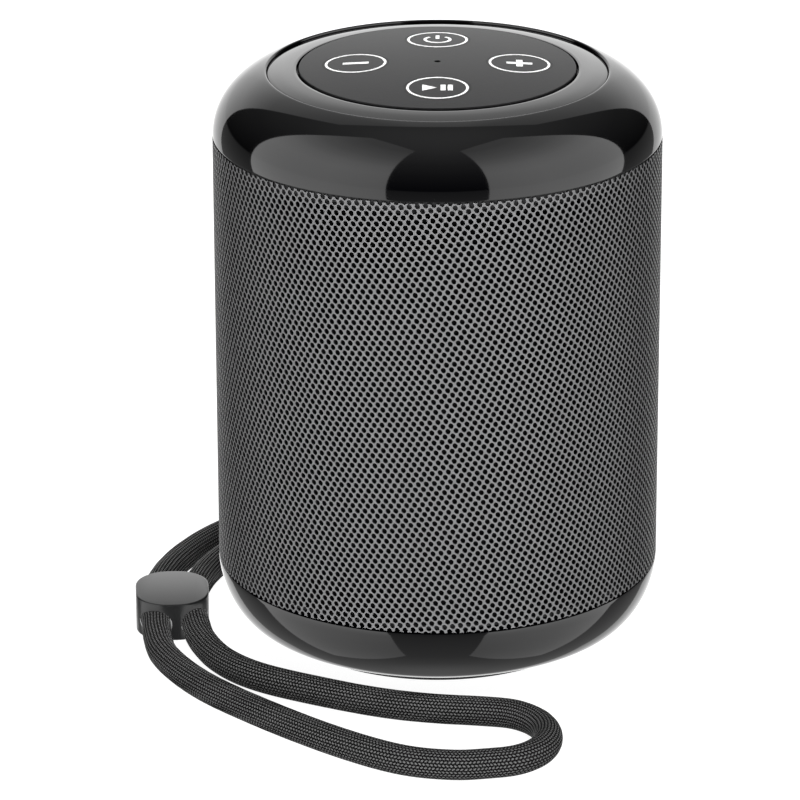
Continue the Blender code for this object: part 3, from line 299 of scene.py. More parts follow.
def makeBraid(rows, pitch):
    # polyester sleeve, braided: black yarn, with a painted highlight on each crown and painted shade in the
    # gaps between the yarns
    made, tree, shader = newMaterial("braidedPolyester", "#1c1c1c", 0.45, Specular_IOR_Level=0.12)
    where = addNode(tree, "UVMap", {"uv_map": "along"})
    split = addNode(tree, "SeparateXYZ", None, {0: where.outputs[0]})
    # U is the distance along the cord in metres, V goes once round it
    cells = calc(tree, "DIVIDE", split.outputs[0], pitch)
    lanes = calc(tree, "MULTIPLY", split.outputs[1], rows)
    lane = calc(tree, "FLOOR", lanes)
    across = calc(tree, "SUBTRACT", calc(tree, "FRACT", lanes), 0.5)
    # each lane of crowns is half a crown behind its neighbour, and leans the other way
    stagger = calc(tree, "MULTIPLY", lane, 0.5)
    slant = addNode(tree, "MapRange", {"To Min": -0.4, "To Max": 0.4}, {0: calc(tree, "PINGPONG", lane, 1.0)})
    shift = calc(tree, "ADD", stagger, calc(tree, "MULTIPLY", across, slant.outputs[0]))
    run = calc(tree, "SUBTRACT", calc(tree, "FRACT", calc(tree, "ADD", cells, shift)), 0.5)
    spot = addNode(tree, "CombineXYZ", None, {0: run, 1: across})
    far = addNode(tree, "VectorMath", {"operation": "LENGTH"}, {0: spot.outputs[0]})
    crown = addNode(tree, "MapRange", {"interpolation_type": "SMOOTHSTEP", "From Min": 0.18,
                                       "From Max": 0.5, "To Min": 1.0, "To Max": 0.0},
                    {0: far.outputs["Value"]})
    # the lighter crowns are a painted highlight and the near-black gaps are painted shade, both in the base
    # colour
    tone = addNode(tree, "ValToRGB", None, {"Fac": crown.outputs[0]})
    tone.color_ramp.elements[0].color = linear("#020202")
    tone.color_ramp.elements[1].color = linear("#5c5c5c")
    tree.links.new(tone.outputs[0], shader.inputs["Base Color"])
    # the gaps between the yarns are dull
    gloss = addNode(tree, "MapRange", {"To Min": 0.95, "To Max": 0.45}, {0: crown.outputs[0]})
    tree.links.new(gloss.outputs[0], shader.inputs["Roughness"])
    bump = addNode(tree, "Bump", {"Strength": 0.9, "Distance": 0.0002}, {"Height": crown.outputs[0]})
    tree.links.new(bump.outputs[0], shader.inputs["Normal"])
    return made


def makeMattAbs():
    # matt ABS, moulded in an etched tool: even dark grey, grain hardly seen
    made, tree = newMaterial("mattMouldedAbs", "#161617", 0.3, Specular_IOR_Level=0.4)[:2]
    where = addNode(tree, "TexCoord").outputs["Object"]
    # etched grain of 0.2 mm
    addGrain(tree, where, 5000.0, "#141415", "#191a1a", (0.15, 0.00002))
    return made


def makeGrained(name, low, high, roughness, grainMm, depthMm, metallic=0.0, stretch=(1, 1, 1)):
    # a finish with a grain of its own size in mm between two tones
    made, tree = newMaterial(name, low, roughness, Metallic=metallic)[:2]
    where = addNode(tree, "TexCoord").outputs["Object"]
    lie = addNode(tree, "Mapping", {"Scale": stretch}, {"Vector": where})
    addGrain(tree, lie.outputs[0], 1000.0 / grainMm, low, high, (0.4, depthMm * mm), 3.0)
    return made


braidSize = {"rows": 28, "pitch": 0.00066}
pianoBlack = makePianoBlack()
softTouch = makeSoftTouch()
whiteInk = makeWhiteInk()
powderCoat = makePowderCoat()
acousticCloth = makeAcousticCloth()
braid = makeBraid(**braidSize)
mattAbs = makeMattAbs()
# nitrile rubber, moulded: dull black, slightly dusty
mouldedRubber = makeGrained("mouldedRubber", "#171718", "#1f1f20", 0.75, 0.4, 0.03)
# black ABS from a spark-eroded tool: dull with a fine even grain
grainedAbs = makeGrained("sparkErodedAbs", "#1c1c1d", "#262627", 0.6, 0.3, 0.02)
# steel with a black dip coat: dark and slightly shiny
dippedSteel = makeGrained("blackDippedSteel", "#262627", "#303031", 0.4, 0.8, 0.01, 0.6)
# zinc-plated steel, rolled: pale metal with faint lines
zincSteel = makeGrained("zincPlatedSteel", "#b4b4b6", "#c6c6c8", 0.3, 0.5, 0.005, 1.0, (1, 1, 6))
# black-zinc screws, cold headed: dark metal
blackZinc = makeGrained("blackZincSteel", "#5a5a5c", "#6c6c6e", 0.35, 0.3, 0.005, 1.0)
# ferrite, sintered: dull grey like slate
ferrite = makeGrained("sinteredFerrite", "#4a4a4c", "#5a5a5c", 0.7, 0.6, 0.02)
# paper pulp with a black dip, pressed: dull with short fibres
dippedPaper = makeGrained("pressedPaperPulp", "#151515", "#242424", 0.85, 0.7, 0.05)
# cotton stiffened with resin, woven: ochre
stiffCotton = makeGrained("resinedCotton", "#9a7c3a", "#bd9c52", 0.8, 0.5, 0.05)
# enamelled copper, wound: warm metal with fine turns
woundCopper = makeGrained("woundCopper", "#b87a4a", "#d09460", 0.35, 0.3, 0.03, 1.0, (0.2, 1, 0.2))
# blue PVC sleeve, heat shrunk: smooth with slight waves
shrinkSleeve = makeGrained("heatShrunkPvc", "#173a6a", "#1d4478", 0.35, 6.0, 0.05)
# glass-epoxy board, solder masked: green with a woven shimmer
maskedBoard = makeGrained("solderMaskedBoard", "#0f4a26", "#165a30", 0.4, 1.2, 0.02)
print("materials made")

# wrist strap
# the cord's way: out of the clamp, through the slider, round the loop in front, and back
cordRoute = [
    (-0.0208, 0.0508, 0.0033), (-0.0283, 0.0471, 0.0033), (-0.0345, 0.0427, 0.0033),
    (-0.0402, 0.0374, 0.0033), (-0.0450, 0.0315, 0.0033), (-0.0489, 0.0249, 0.0033),
    (-0.0519, 0.0179, 0.0033), (-0.0539, 0.0105, 0.0033), (-0.0548, 0.0029, 0.0033),
    (-0.0547, -0.0048, 0.0033), (-0.0538, -0.0109, 0.0033), (-0.0532, -0.0172, 0.0030),
    (-0.0510, -0.0260, 0.00275), (-0.0435, -0.0388, 0.00275), (-0.0312, -0.0519, 0.00275),
    (-0.0181, -0.0635, 0.00275), (-0.0068, -0.0710, 0.00275), (0.0024, -0.0733, 0.00275),
    (0.0090, -0.0727, 0.00275), (0.0146, -0.0711, 0.00275), (0.0187, -0.0670, 0.00275),
    (0.0201, -0.0614, 0.00275), (0.0186, -0.0558, 0.00275), (0.0144, -0.0516, 0.00275),
    (0.0086, -0.0501, 0.00275), (-0.0005, -0.0489, 0.00275), (-0.0095, -0.0466, 0.00275),
    (-0.0196, -0.0423, 0.00275), (-0.0329, -0.0350, 0.00275), (-0.0404, -0.0272, 0.00275),
    (-0.0447, -0.0182, 0.0030), (-0.0463, -0.0107, 0.0033), (-0.0473, -0.0041, 0.0033),
    (-0.0474, 0.0025, 0.0033), (-0.0466, 0.0091, 0.0033), (-0.0449, 0.0155, 0.0033),
    (-0.0423, 0.0216, 0.0033), (-0.0389, 0.0272, 0.0033), (-0.0347, 0.0324, 0.0033),
    (-0.0299, 0.0369, 0.0033), (-0.0245, 0.0407, 0.0033), (-0.0189, 0.0436, 0.0033),
]
cordSize = {
    "diameter": 0.0055,
    "rings": 1010,
    "sides": 96,
    "ribs": 24,  # lengthwise folds of the sleeve
    "ribDepth": 0.00015,
    "drift": (0.35, 55.0),  # how far the folds turn round the cord, and how often
    "uneven": (0.25, 5, 90.0),  # how much their depth varies, round the cord and along it
    "finePoints": 40,
    "easings": 60,
    "ribsAt": [(0.062, 0.030, 1.0), (0.106, 0.030, 1.0), (0.212, 0.022, 0.7), (0.300, 0.030, 1.0),
               (0.345, 0.040, 1.0), (0.020, 0.030, 1.0)],  # place along, spread, strength
}


def evenLine(points, count):
    # evenly spaced points on one smooth curve through the route
    pts = np.array(points)
    padded = np.vstack([2 * pts[0] - pts[1], pts, 2 * pts[-1] - pts[-2]])
    t = np.linspace(0, 1, cordSize["finePoints"], endpoint=False)[:, None]
    fine = []
    for p0, p1, p2, p3 in zip(padded, padded[1:], padded[2:], padded[3:]):
        fine.append(p1 + (p2 - p0) * t / 2 + (2 * p0 - 5 * p1 + 4 * p2 - p3) * t * t / 2
                    + (3 * p1 - p0 - 3 * p2 + p3) * t ** 3 / 2)
    fine = np.vstack(fine + [pts[-1:]])
    # the given points are eased, so that no kink shows in the gloss of the yarn
    for _ in range(cordSize["easings"]):
        fine[1:-1] = fine[1:-1] * 0.5 + (fine[:-2] + fine[2:]) * 0.25
    steps = np.concatenate([[0], np.cumsum(np.linalg.norm(np.diff(fine, axis=0), axis=1))])
    goal = np.linspace(0, steps[-1], count)
    line = np.stack([np.interp(goal, steps, fine[:, k]) for k in range(3)], 1)
    return line, goal


def makeCord():
    line, along = evenLine(cordRoute, cordSize["rings"])
    ahead = np.gradient(line, axis=0)
    ahead /= np.linalg.norm(ahead, axis=1)[:, None]
    side = np.cross(ahead, (0, 0, 1.0))
    side /= np.linalg.norm(side, axis=1)[:, None]
    up = np.cross(side, ahead)
    sides = cordSize["sides"]
    turn = np.arange(sides) / sides * 2 * math.pi
    fold = np.zeros(len(along))
    for place, spread, strength in cordSize["ribsAt"]:
        fold = np.maximum(fold, strength * np.exp(-((along - place) / spread) ** 2))
    # the folds drift slowly round the cord, and each has a depth of its own
    drift = cordSize["drift"][0] * np.sin(along * cordSize["drift"][1])
    wave = np.cos(cordSize["ribs"] * (turn[None, :] + drift[:, None]))
    varies, aroundIt, alongIt = cordSize["uneven"]
    depth = 1 - varies + varies * np.sin(turn[None, :] * aroundIt + along[:, None] * alongIt)
    radius = cordSize["diameter"] / 2 - cordSize["ribDepth"] * fold[:, None] * depth * (0.5 - 0.5 * wave)
    ring = (side[:, None, :] * np.cos(turn)[None, :, None] + up[:, None, :] * np.sin(turn)[None, :, None])
    verts = (line[:, None, :] + ring * radius[:, :, None]).reshape(-1, 3)
    count = len(line)
    grid = np.arange(count * sides).reshape(count, sides)
    nextGrid = np.roll(grid, -1, axis=1)
    quads = np.stack([grid[:-1], nextGrid[:-1], nextGrid[1:], grid[1:]], -1).reshape(-1, 4)
    faces = quads.tolist() + [grid[0, ::-1].tolist(), grid[-1].tolist()]
    mesh = bpy.data.meshes.new("wristCord")
    mesh.from_pydata(verts.tolist(), [], faces)
    layer = mesh.uv_layers.new(name="along")
    uv = np.zeros((len(mesh.loops), 2), np.float32)
    column = np.tile(np.arange(sides), count - 1)
    row = np.repeat(np.arange(count - 1), sides)
    u = np.stack([along[row], along[row], along[row + 1], along[row + 1]], -1)
    v = np.stack([column, column + 1, column + 1, column], -1) / sides
    uv[:quads.size, 0] = u.reshape(-1)
    uv[:quads.size, 1] = v.reshape(-1)
    layer.data.foreach_set("uv", uv.reshape(-1))
    mesh.shade_smooth()
    obj = bpy.data.objects.new("wristCord", mesh)
    bpy.context.scene.collection.objects.link(obj)
    finishPiece(obj, "strap", braid, ["strap_cord"])
    return obj, line, float(along[-1])


def roundedBlock(name, centre, size, corner, bottom, turnDegrees, rim):
    # a cube scaled to size, its upright edges rounded, then its rims
    bpy.ops.mesh.primitive_cube_add(size=1, location=(0, 0, 0))
    named(name)
    startEdit()
    bpy.ops.transform.resize(value=(size[0] * mm, size[1] * mm, size[2] * mm), center_override=(0, 0, 0))
    pick(lambda e: abs(e.verts[0].co.z - e.verts[1].co.z) > 0.5 * size[2] * mm, "edges")
    bpy.ops.mesh.bevel(offset=corner * mm, segments=14, profile=0.5, affect="EDGES")
    pick(lambda f: abs(f.normal.z) > 0.9, "faces")
    bpy.ops.mesh.bevel(offset=rim * mm, segments=4, affect="EDGES")
    bpy.ops.mesh.select_all(action="SELECT")
    bpy.ops.transform.translate(value=(0, 0, (bottom + size[2] / 2) * mm))
    bpy.ops.object.mode_set(mode="OBJECT")
    obj = bpy.context.object
    obj.rotation_euler = (0, 0, math.radians(turnDegrees))
    obj.location = (centre[0] * mm, centre[1] * mm, 0)
    bpy.ops.object.transform_apply()
    return obj


def hoopTool(major, minor, z):
    # a full hoop round the speaker, to cut a curved round hole
    bpy.ops.mesh.primitive_torus_add(major_radius=major * mm, minor_radius=minor * mm,
                                     major_segments=360, minor_segments=40, location=(0, 0, z * mm))
    bpy.ops.object.transform_apply()
    return bpy.context.object


slider = {"ringR": 51.2, "angle": 183.7, "width": 14.0, "length": 17.0, "height": 7.4, "corner": 6.3,
          "rim": 0.35, "holeRim": 0.22, "bottom": 0.1, "holeR": 2.83, "holeZ": 3.3, "strands": (54.9, 47.5)}


def makeSlider():
    s = slider
    obj = roundedBlock("cordSlider", polar(s["ringR"], s["angle"]), (s["width"], s["length"], s["height"]),
                       s["corner"], s["bottom"], s["angle"], s["rim"])
    carve(obj, [hoopTool(r, s["holeR"], s["holeZ"]) for r in s["strands"]])
    applyModifier(obj, "BEVEL", width=s["holeRim"] * mm, segments=3, limit_method="ANGLE",
                  angle_limit=math.radians(50))
    smoothAgain(obj, 40)
    return finishPiece(obj, "slider", mattAbs, ["cord_slider"])


clamp = {"ringR": 51.2, "angle": 105.5, "width": 15.0, "length": 11.4, "height": 6.6, "corner": 2.6,
         "rim": 0.5, "bottom": 0.1, "pinR": 36.5, "pinAngle": 97.0, "pinHole": 1.25, "eyeR": 2.55,
         "eyeRim": 0.3, "eyeZ": (3.7, 6.3), "neck": 3.2, "neckRim": 0.4}


def makeClamp():
    c = clamp
    middle = polar(c["ringR"], c["angle"])
    pin = polar(c["pinR"], c["pinAngle"])
    obj = roundedBlock("strapClamp", middle, (c["width"], c["length"], c["height"]), c["corner"],
                       c["bottom"], c["angle"], c["rim"])
    dx, dy = middle[0] - pin[0], middle[1] - pin[1]
    # the neck ends inside the block, 2 mm before its middle
    reach = math.hypot(dx, dy) - 2
    halfWay = reach / 2 / math.hypot(dx, dy)
    low, high = c["eyeZ"]
    neck = roundedBlock("clampNeck", (pin[0] + dx * halfWay, pin[1] + dy * halfWay),
                        (reach, c["neck"], high - low - 0.2), c["neckRim"], low + 0.1,
                        math.degrees(math.atan2(dy, dx)), c["eyeRim"])
    r, rim = c["eyeR"], c["eyeRim"]
    eye = turnedPiece("clampEye", [(0, low), (r - rim, low), (r, low + rim), (r, high - rim), (r - rim, high),
                                   (0, high)], 48, pin)
    carve(obj, [neck, eye], "UNION")
    carve(obj, [roundTool(c["pinHole"], 0, 12, pin)])
    smoothAgain(obj)
    return finishPiece(obj, "strap", grainedAbs, ["strap_clamp"])


cordPiece, cordLine, cordLength = makeCord()
sliderPiece = makeSlider()
clampPiece = makeClamp()
for piece in (cordPiece, sliderPiece, clampPiece):
    piece.visible_glossy = False  # the strap stays out of the shell's mirror
print("strap made, cord", round(cordLength, 4), "m")

# top cap
cap = {"bodyR": 42.0, "bottom": 98.7, "shoulderR": 26.9, "shoulderW": 15.1, "shoulderH": 12.85,
       "lipR": 32.2, "recessR": 31.8, "deck": 108.3, "deckUnder": 106.5, "wall": 2.7, "steps": 224,
       "stemRing": 15.2, "stemHole": 2.0, "micHole": 0.8, "cut": (100, 112)}


def makeCap():
    c = cap
    lipAngle = math.acos((c["lipR"] - c["shoulderR"]) / c["shoulderW"])
    lipZ = c["bottom"] + c["shoulderH"] * math.sin(lipAngle)
    outline = [(0, c["deckUnder"])]
    innerW, innerH = c["shoulderW"] - c["wall"], c["deckUnder"] - c["bottom"]
    for i in range(12):
        a = math.pi / 2 * (1 - i / 12)
        outline.append((c["shoulderR"] + innerW * math.cos(a), c["bottom"] + innerH * math.sin(a)))
    outline += [(c["bodyR"] - c["wall"], c["bottom"]), (c["bodyR"] - 0.12, c["bottom"]),
                (c["bodyR"] - 0.03, c["bottom"] + 0.04), (c["bodyR"], c["bottom"] + 0.14)]
    count = 56
    for i in range(1, count + 1):
        a = lipAngle * i / count
        outline.append((c["shoulderR"] + c["shoulderW"] * math.cos(a),
                        c["bottom"] + c["shoulderH"] * math.sin(a)))
    # the lip is a small round that turns down into the recess
    outline += [(c["lipR"] - 0.1, lipZ + 0.01)]
    outline += [(c["recessR"] + out, lipZ - down)
                for out, down in ((0.18, 0.04), (0.09, 0.12), (0.03, 0.24), (0, 0.4))]
    outline += [(c["recessR"], c["deck"]), (0, c["deck"])]
    obj = turnedPiece("glossCap", outline, c["steps"])
    holes = [roundTool(c["stemHole"], *c["cut"], polar(c["stemRing"], a)) for a in (0, 90, 180, 270)]
    holes.append(roundTool(c["micHole"], *c["cut"]))
    carve(obj, holes)
    smoothAgain(obj)
    return finishPiece(obj, "speaker", pianoBlack, ["top_shell"])


makeCap()

bezel = {"inner": 26.25, "outer": 31.65, "top": 111.0, "low": 110.3, "bulge": 0.1, "bottom": 108.6,
         "steps": 224}


def makeBezel():
    b = bezel
    outline = [(b["outer"], b["bottom"]), (b["outer"], b["low"] - 0.2), (b["outer"] - 0.06, b["low"] - 0.06)]
    fromR, toR = b["outer"] - 0.2, b["inner"] + 0.18
    for i in range(11):
        t = i / 10
        outline.append((fromR + (toR - fromR) * t,
                        b["low"] + (b["top"] - b["low"]) * t + b["bulge"] * math.sin(math.pi * t)))
    outline += [(b["inner"] + 0.05, b["top"] - 0.05), (b["inner"], b["top"] - 0.2),
                (b["inner"], b["bottom"])]
    obj = turnedPiece("bezelRing", outline, b["steps"])
    return finishPiece(obj, "speaker", pianoBlack, ["bezel_ring"])


makeBezel()
print("cap made")

# control pad and keys
pad = {"r": 25.8, "top": 111.2, "dome": 1.05, "wall": 1.4, "skirt": 2.3, "bottom": 108.6, "keyRing": 15.2,
       "keyR": 6.12, "keyHole": 6.15, "micR": 0.6, "cut": (108, 114), "steps": 192,
       "flange": 1.0, "flangeDown": (1.7, 2.2), "stemR": 1.5, "stemDown": 4.7}
keyAngles = {"power": 90.0, "minus": 180.0, "play": 270.0, "plus": 0.0}


def domeAt(x, y):
    # how far the pad's face stands above its edge, everything in mm
    return pad["dome"] * (1 - (x * x + y * y) / pad["r"] ** 2)


def followDome(obj, aboveZ):
    # lifts what is above this height in mm onto the dome
    for vert in obj.data.vertices:
        if vert.co.z > aboveZ * mm:
            vert.co.z += domeAt(vert.co.x / mm, vert.co.y / mm) * mm
    return obj


def makePad():
    p = pad
    under = p["top"] - p["wall"]
    outline = [(0, under), (p["r"] - p["skirt"], under), (p["r"] - p["skirt"], p["bottom"]),
               (p["r"], p["bottom"]), (p["r"], p["top"] - 0.16), (p["r"] - 0.05, p["top"] - 0.05),
               (p["r"] - 0.16, p["top"])]
    outline += [(p["r"] * i / 16, p["top"]) for i in range(15, -1, -1)]
    obj = turnedPiece("controlPad", outline, p["steps"])
    followDome(obj, p["top"] - 0.001)
    holes = [roundTool(p["keyHole"], *p["cut"], polar(p["keyRing"], a), 96) for a in keyAngles.values()]
    holes.append(roundTool(p["micR"], *p["cut"]))
    carve(obj, holes)
    smoothAgain(obj, 20)
    return finishPiece(obj, "speaker", softTouch, ["control_pad"])


def makeKey(key):
    p = pad
    r, top = p["keyR"], p["top"]
    above, under = (top - down for down in p["flangeDown"])
    outline = [(0, top), (r / 3, top), (r * 2 / 3, top), (r - 0.04, top), (r, top - 0.04), (r, above),
               (r + p["flange"], above), (r + p["flange"], under), (p["stemR"], under),
               (p["stemR"], top - p["stemDown"]), (0, top - p["stemDown"])]
    obj = turnedPiece(key + "Key", outline, 96, polar(p["keyRing"], keyAngles[key]))
    followDome(obj, top - 0.05)
    smoothAgain(obj, 20)
    return finishPiece(obj, key + "_key", softTouch, ["key_" + key])


makePad()
for key in keyAngles:
    makeKey(key)

legend = {"ringOut": 5.72, "ringIn": 5.26, "thick": 0.03, "sunk": 0.01, "z": 111.2}


def inkBand(outer, inner, start, end):
    # part of a ring, between two angles
    count = max(8, int((end - start) / 4))
    angles = [start + (end - start) * i / count for i in range(count + 1)]
    return [polar(outer, a) for a in angles] + [polar(inner, a) for a in reversed(angles)]


def inkBar(x0, x1, y0, y1):
    return [(x0, y0), (x1, y0), (x1, y1), (x0, y1)]


signs = {
    "power": [inkBand(2.65, 2.08, 128, 412), inkBar(-0.36, 0.36, 0.5, 3.1)],
    "minus": [inkBar(-2.4, 2.4, -0.55, 0.55)],
    "plus": [inkBar(-2.4, 2.4, -0.55, 0.55), inkBar(-0.6, 0.6, 0.55, 2.0), inkBar(-0.6, 0.6, -2.0, -0.55)],
    "play": [[(-2.8, -1.6), (-0.2, 0), (-2.8, 1.6)], inkBar(0.55, 1.48, -1.45, 1.45),
             inkBar(1.87, 2.8, -1.45, 1.45)],
}


def inkPlate(outline, centre):
    # a flat outline in mm, filled and given the ink's thickness
    bpy.ops.mesh.primitive_circle_add(vertices=len(outline), radius=mm, fill_type="NGON",
                                      location=(0, 0, 0))
    obj = bpy.context.object
    for vert, (x, y) in zip(obj.data.vertices, outline):
        vert.co = ((centre[0] + x) * mm, (centre[1] + y) * mm, (legend["z"] - legend["sunk"]) * mm)
    startEdit()
    bpy.ops.mesh.extrude_region_move(
        TRANSFORM_OT_translate={"value": (0, 0, (legend["thick"] + legend["sunk"]) * mm)})
    return endEdit()


def makeLegend(key):
    centre = polar(pad["keyRing"], keyAngles[key])
    outer, inner = legend["ringOut"], legend["ringIn"]
    low, high = legend["z"] - legend["sunk"], legend["z"] + legend["thick"]
    ring = turnedPiece(key + "Legend", [(outer, low), (outer, high), (inner, high), (inner, low)], 128,
                       centre)
    parts = [inkPlate(outline, centre) for outline in signs[key]]
    makeActive(ring)
    for part in parts:
        part.select_set(True)
    bpy.ops.object.join()
    followDome(ring, legend["z"] - 1)
    return finishPiece(ring, key + "_key", whiteInk)


for key in signs:
    makeLegend(key)
print("pad and keys made")

# grille
grille = {"r": 42.0, "z0": 14.9, "z1": 98.4, "across": (1.46579, 0.14893), "upward": (0.541, 1.048),
          "hole": (0.46, 0.57), "lean": 25.0, "sheet": 0.3, "panels": (32, 32, 32, 32, 31, 31),
          "windowAngle": 20.9, "windowZ": (16.9, 34.9)}


def cellCorners():
    # where the strips of metal between neighbouring holes meet: six corners, in mm
    a, b = Vector(grille["across"]), Vector(grille["upward"])
    around = [a, b, b - a, -a, -b, a - b]
    corners = []
    for p, q in zip(around, around[1:] + around[:1]):
        d = 2 * (p.x * q.y - p.y * q.x)
        corners.append(Vector(((q.y * p.length_squared - p.y * q.length_squared) / d,
                               (p.x * q.length_squared - q.x * p.length_squared) / d)))
    return corners


def makePanel(index, firstColumn, columns):
    g = grille
    a, b = Vector(g["across"]), Vector(g["upward"])
    corners = cellCorners()
    outer = []
    for p, q in zip(corners, corners[1:] + corners[:1]):
        outer += [p, (p + q) / 2]
    lean = math.radians(g["lean"])
    long, short = Vector((-math.sin(lean), math.cos(lean))), Vector((math.cos(lean), math.sin(lean)))
    inner = []
    for p in outer:
        turn = math.atan2(p.dot(long) / g["hole"][1], p.dot(short) / g["hole"][0])
        inner.append(short * g["hole"][0] * math.cos(turn) + long * g["hole"][1] * math.sin(turn))
    firstRow = math.floor((g["z0"] - (firstColumn + columns) * a.y) / b.y) - 1
    lastRow = math.ceil((g["z1"] - firstColumn * a.y) / b.y) + 1
    start = a * firstColumn + b * firstRow
    # one cell: a twelve-sided hole bridged to the outline of the metal round it
    bpy.ops.mesh.primitive_circle_add(vertices=len(inner), radius=mm, location=(0, 0, 0))
    obj = named("grillePanel%d" % index)
    for vert, place in zip(obj.data.vertices, inner):
        vert.co = ((start.x + place.x) * mm, 0, (start.y + place.y) * mm)
    startEdit()
    bpy.ops.mesh.extrude_region_move()
    bpy.ops.object.mode_set(mode="OBJECT")
    for i, place in enumerate(outer):
        obj.data.vertices[len(inner) + i].co = ((start.x + place.x) * mm, 0, (start.y + place.y) * mm)
    for step, count in ((b, lastRow - firstRow + 1), (a, columns)):
        applyModifier(obj, "ARRAY", count=count, use_relative_offset=False, use_constant_offset=True,
                      constant_offset_displace=(step.x * mm, 0, step.y * mm), use_merge_vertices=True,
                      merge_threshold=0.02 * mm)
    startEdit()
    for z, keepUp in ((g["z0"], True), (g["z1"], False)):
        bpy.ops.mesh.select_all(action="SELECT")
        bpy.ops.mesh.bisect(plane_co=(0, 0, z * mm), plane_no=(0, 0, 1), clear_inner=keepUp,
                            clear_outer=not keepUp)
    # the port window, on the back
    girth = 2 * math.pi * g["r"] * mm
    low, high = ((180 + a) / 360 * girth for a in (-g["windowAngle"], g["windowAngle"]))
    zLow, zHigh = (z * mm for z in g["windowZ"])
    for place, normal in (((low, 0, 0), (1, 0, 0)), ((high, 0, 0), (1, 0, 0)),
                          ((0, 0, zLow), (0, 0, 1)), ((0, 0, zHigh), (0, 0, 1))):
        bpy.ops.mesh.select_all(action="SELECT")
        bpy.ops.mesh.bisect(plane_co=place, plane_no=normal)
        if normal[0]:
            bpy.ops.mesh.select_all(action="SELECT")
            bpy.ops.mesh.bisect(plane_co=(place[0] + girth, 0, 0), plane_no=normal)

    def inWindow(face):
        middle = face.calc_center_median()
        return low < middle.x % girth < high and zLow < middle.z < zHigh

    pick(inWindow, "faces")
    bpy.ops.mesh.delete(type="FACE")
    bpy.ops.object.mode_set(mode="OBJECT")
    # rolled round the body, then given the sheet's thickness inwards
    flat = np.zeros(len(obj.data.vertices) * 3)
    obj.data.vertices.foreach_get("co", flat)
    flat = flat.reshape(-1, 3)
    turn = flat[:, 0] / (g["r"] * mm) - math.pi / 2
    rolled = np.stack([g["r"] * mm * np.cos(turn), g["r"] * mm * np.sin(turn), flat[:, 2]], 1)
    obj.data.vertices.foreach_set("co", rolled.reshape(-1))
    startEdit()
    bpy.ops.mesh.normals_make_consistent(inside=False)
    bpy.ops.object.mode_set(mode="OBJECT")
    # one face tells whether the sheet's normals look out
    face = obj.data.polygons[0]
    outward = face.normal.x * face.center.x + face.normal.y * face.center.y > 0
    applyModifier(obj, "SOLIDIFY", thickness=g["sheet"] * mm, offset=-1 if outward else 1)
    startEdit()
    endEdit(35)
    return finishPiece(obj, "speaker", powderCoat, ["grille"] if index == 1 else [])


column = 0
for index, columns in enumerate(grille["panels"], 1):
    panel = makePanel(index, column, columns)
    column += columns
print("grille made,", len(panel.data.polygons), "faces in the last panel")

# port frame and cover, at the back
port = {"frame": (69.5, 110.5, 17.2, 34.6), "recess": (72.55, 109.2, 19.1, 32.7),
        "cover": (73.0, 107.0, 19.4, 32.4), "corner": 1.6, "frameR": (37.6, 42.0), "recessR": 40.6,
        "coverR": (40.9, 42.0), "midZ": 25.9, "slices": 20, "ribAngles": (74.2, 76.2, 78.2)}
# each socket's place, and its opening and plug as half width, half height, corner and the radii between
sockets = [{"x": -5.0, "opening": (4.8, 1.9, 1.5, (30, 45)), "plug": (4.0, 1.2, 1.1, (39.2, 41.3))},
           {"x": 6.5, "opening": (3.1, 3.1, 3.05, (30, 45)), "plug": (2.2, 2.2, 2.15, (38.7, 41.3))}]


def curvedPlate(name, area, radii, corner, rim=0.0):
    # a flat plate with rounded corners, sliced and then bent round the speaker's axis
    fromAngle, toAngle, z0, z1 = area
    inner, outer = radii
    width = math.radians(toAngle - fromAngle) * outer
    bpy.ops.mesh.primitive_cube_add(size=1, location=(0, 0, 0))
    obj = named(name)
    startEdit()
    bpy.ops.transform.resize(value=(width * mm, (outer - inner) * mm, (z1 - z0) * mm),
                             center_override=(0, 0, 0))
    pick(lambda e: abs(e.verts[0].co.y - e.verts[1].co.y) > 0.5 * (outer - inner) * mm, "edges")
    bpy.ops.mesh.bevel(offset=corner * mm, segments=8, profile=0.5, affect="EDGES")
    if rim:
        pick(lambda f: f.normal.y > 0.9, "faces")
        bpy.ops.mesh.bevel(offset=rim * mm, segments=3, affect="EDGES")
    for i in range(1, port["slices"]):
        bpy.ops.mesh.select_all(action="SELECT")
        bpy.ops.mesh.bisect(plane_co=((i / port["slices"] - 0.5) * width * mm, 0, 0), plane_no=(1, 0, 0))
    bpy.ops.object.mode_set(mode="OBJECT")
    for vert in obj.data.vertices:
        turn = math.radians((fromAngle + toAngle) / 2) - vert.co.x / (outer * mm)
        away = vert.co.y + (inner + outer) / 2 * mm
        vert.co = (away * math.cos(turn), away * math.sin(turn), vert.co.z + (z0 + z1) / 2 * mm)
    smoothAgain(obj, 35)
    return obj


def socketPlate(socket, part, radius=41.0):
    # the part of the curve that a straight opening or plug takes
    halfWidth, halfHeight, corner, radii = socket[part]
    middle, half = 90 - math.degrees(math.asin(socket["x"] / radius)), math.degrees(halfWidth / radius)
    return curvedPlate(part, (middle - half, middle + half, port["midZ"] - halfHeight,
                              port["midZ"] + halfHeight), radii, corner)


def makePortFrame():
    p = port
    obj = curvedPlate("portFrame", p["frame"], p["frameR"], p["corner"], 0.35)
    carve(obj, [curvedPlate("portRecess", p["recess"], (p["recessR"], 45), p["corner"] - 0.4)]
          + [socketPlate(socket, "opening") for socket in sockets])
    smoothAgain(obj, 35)
    return finishPiece(obj, "speaker", grainedAbs, ["port_frame"])


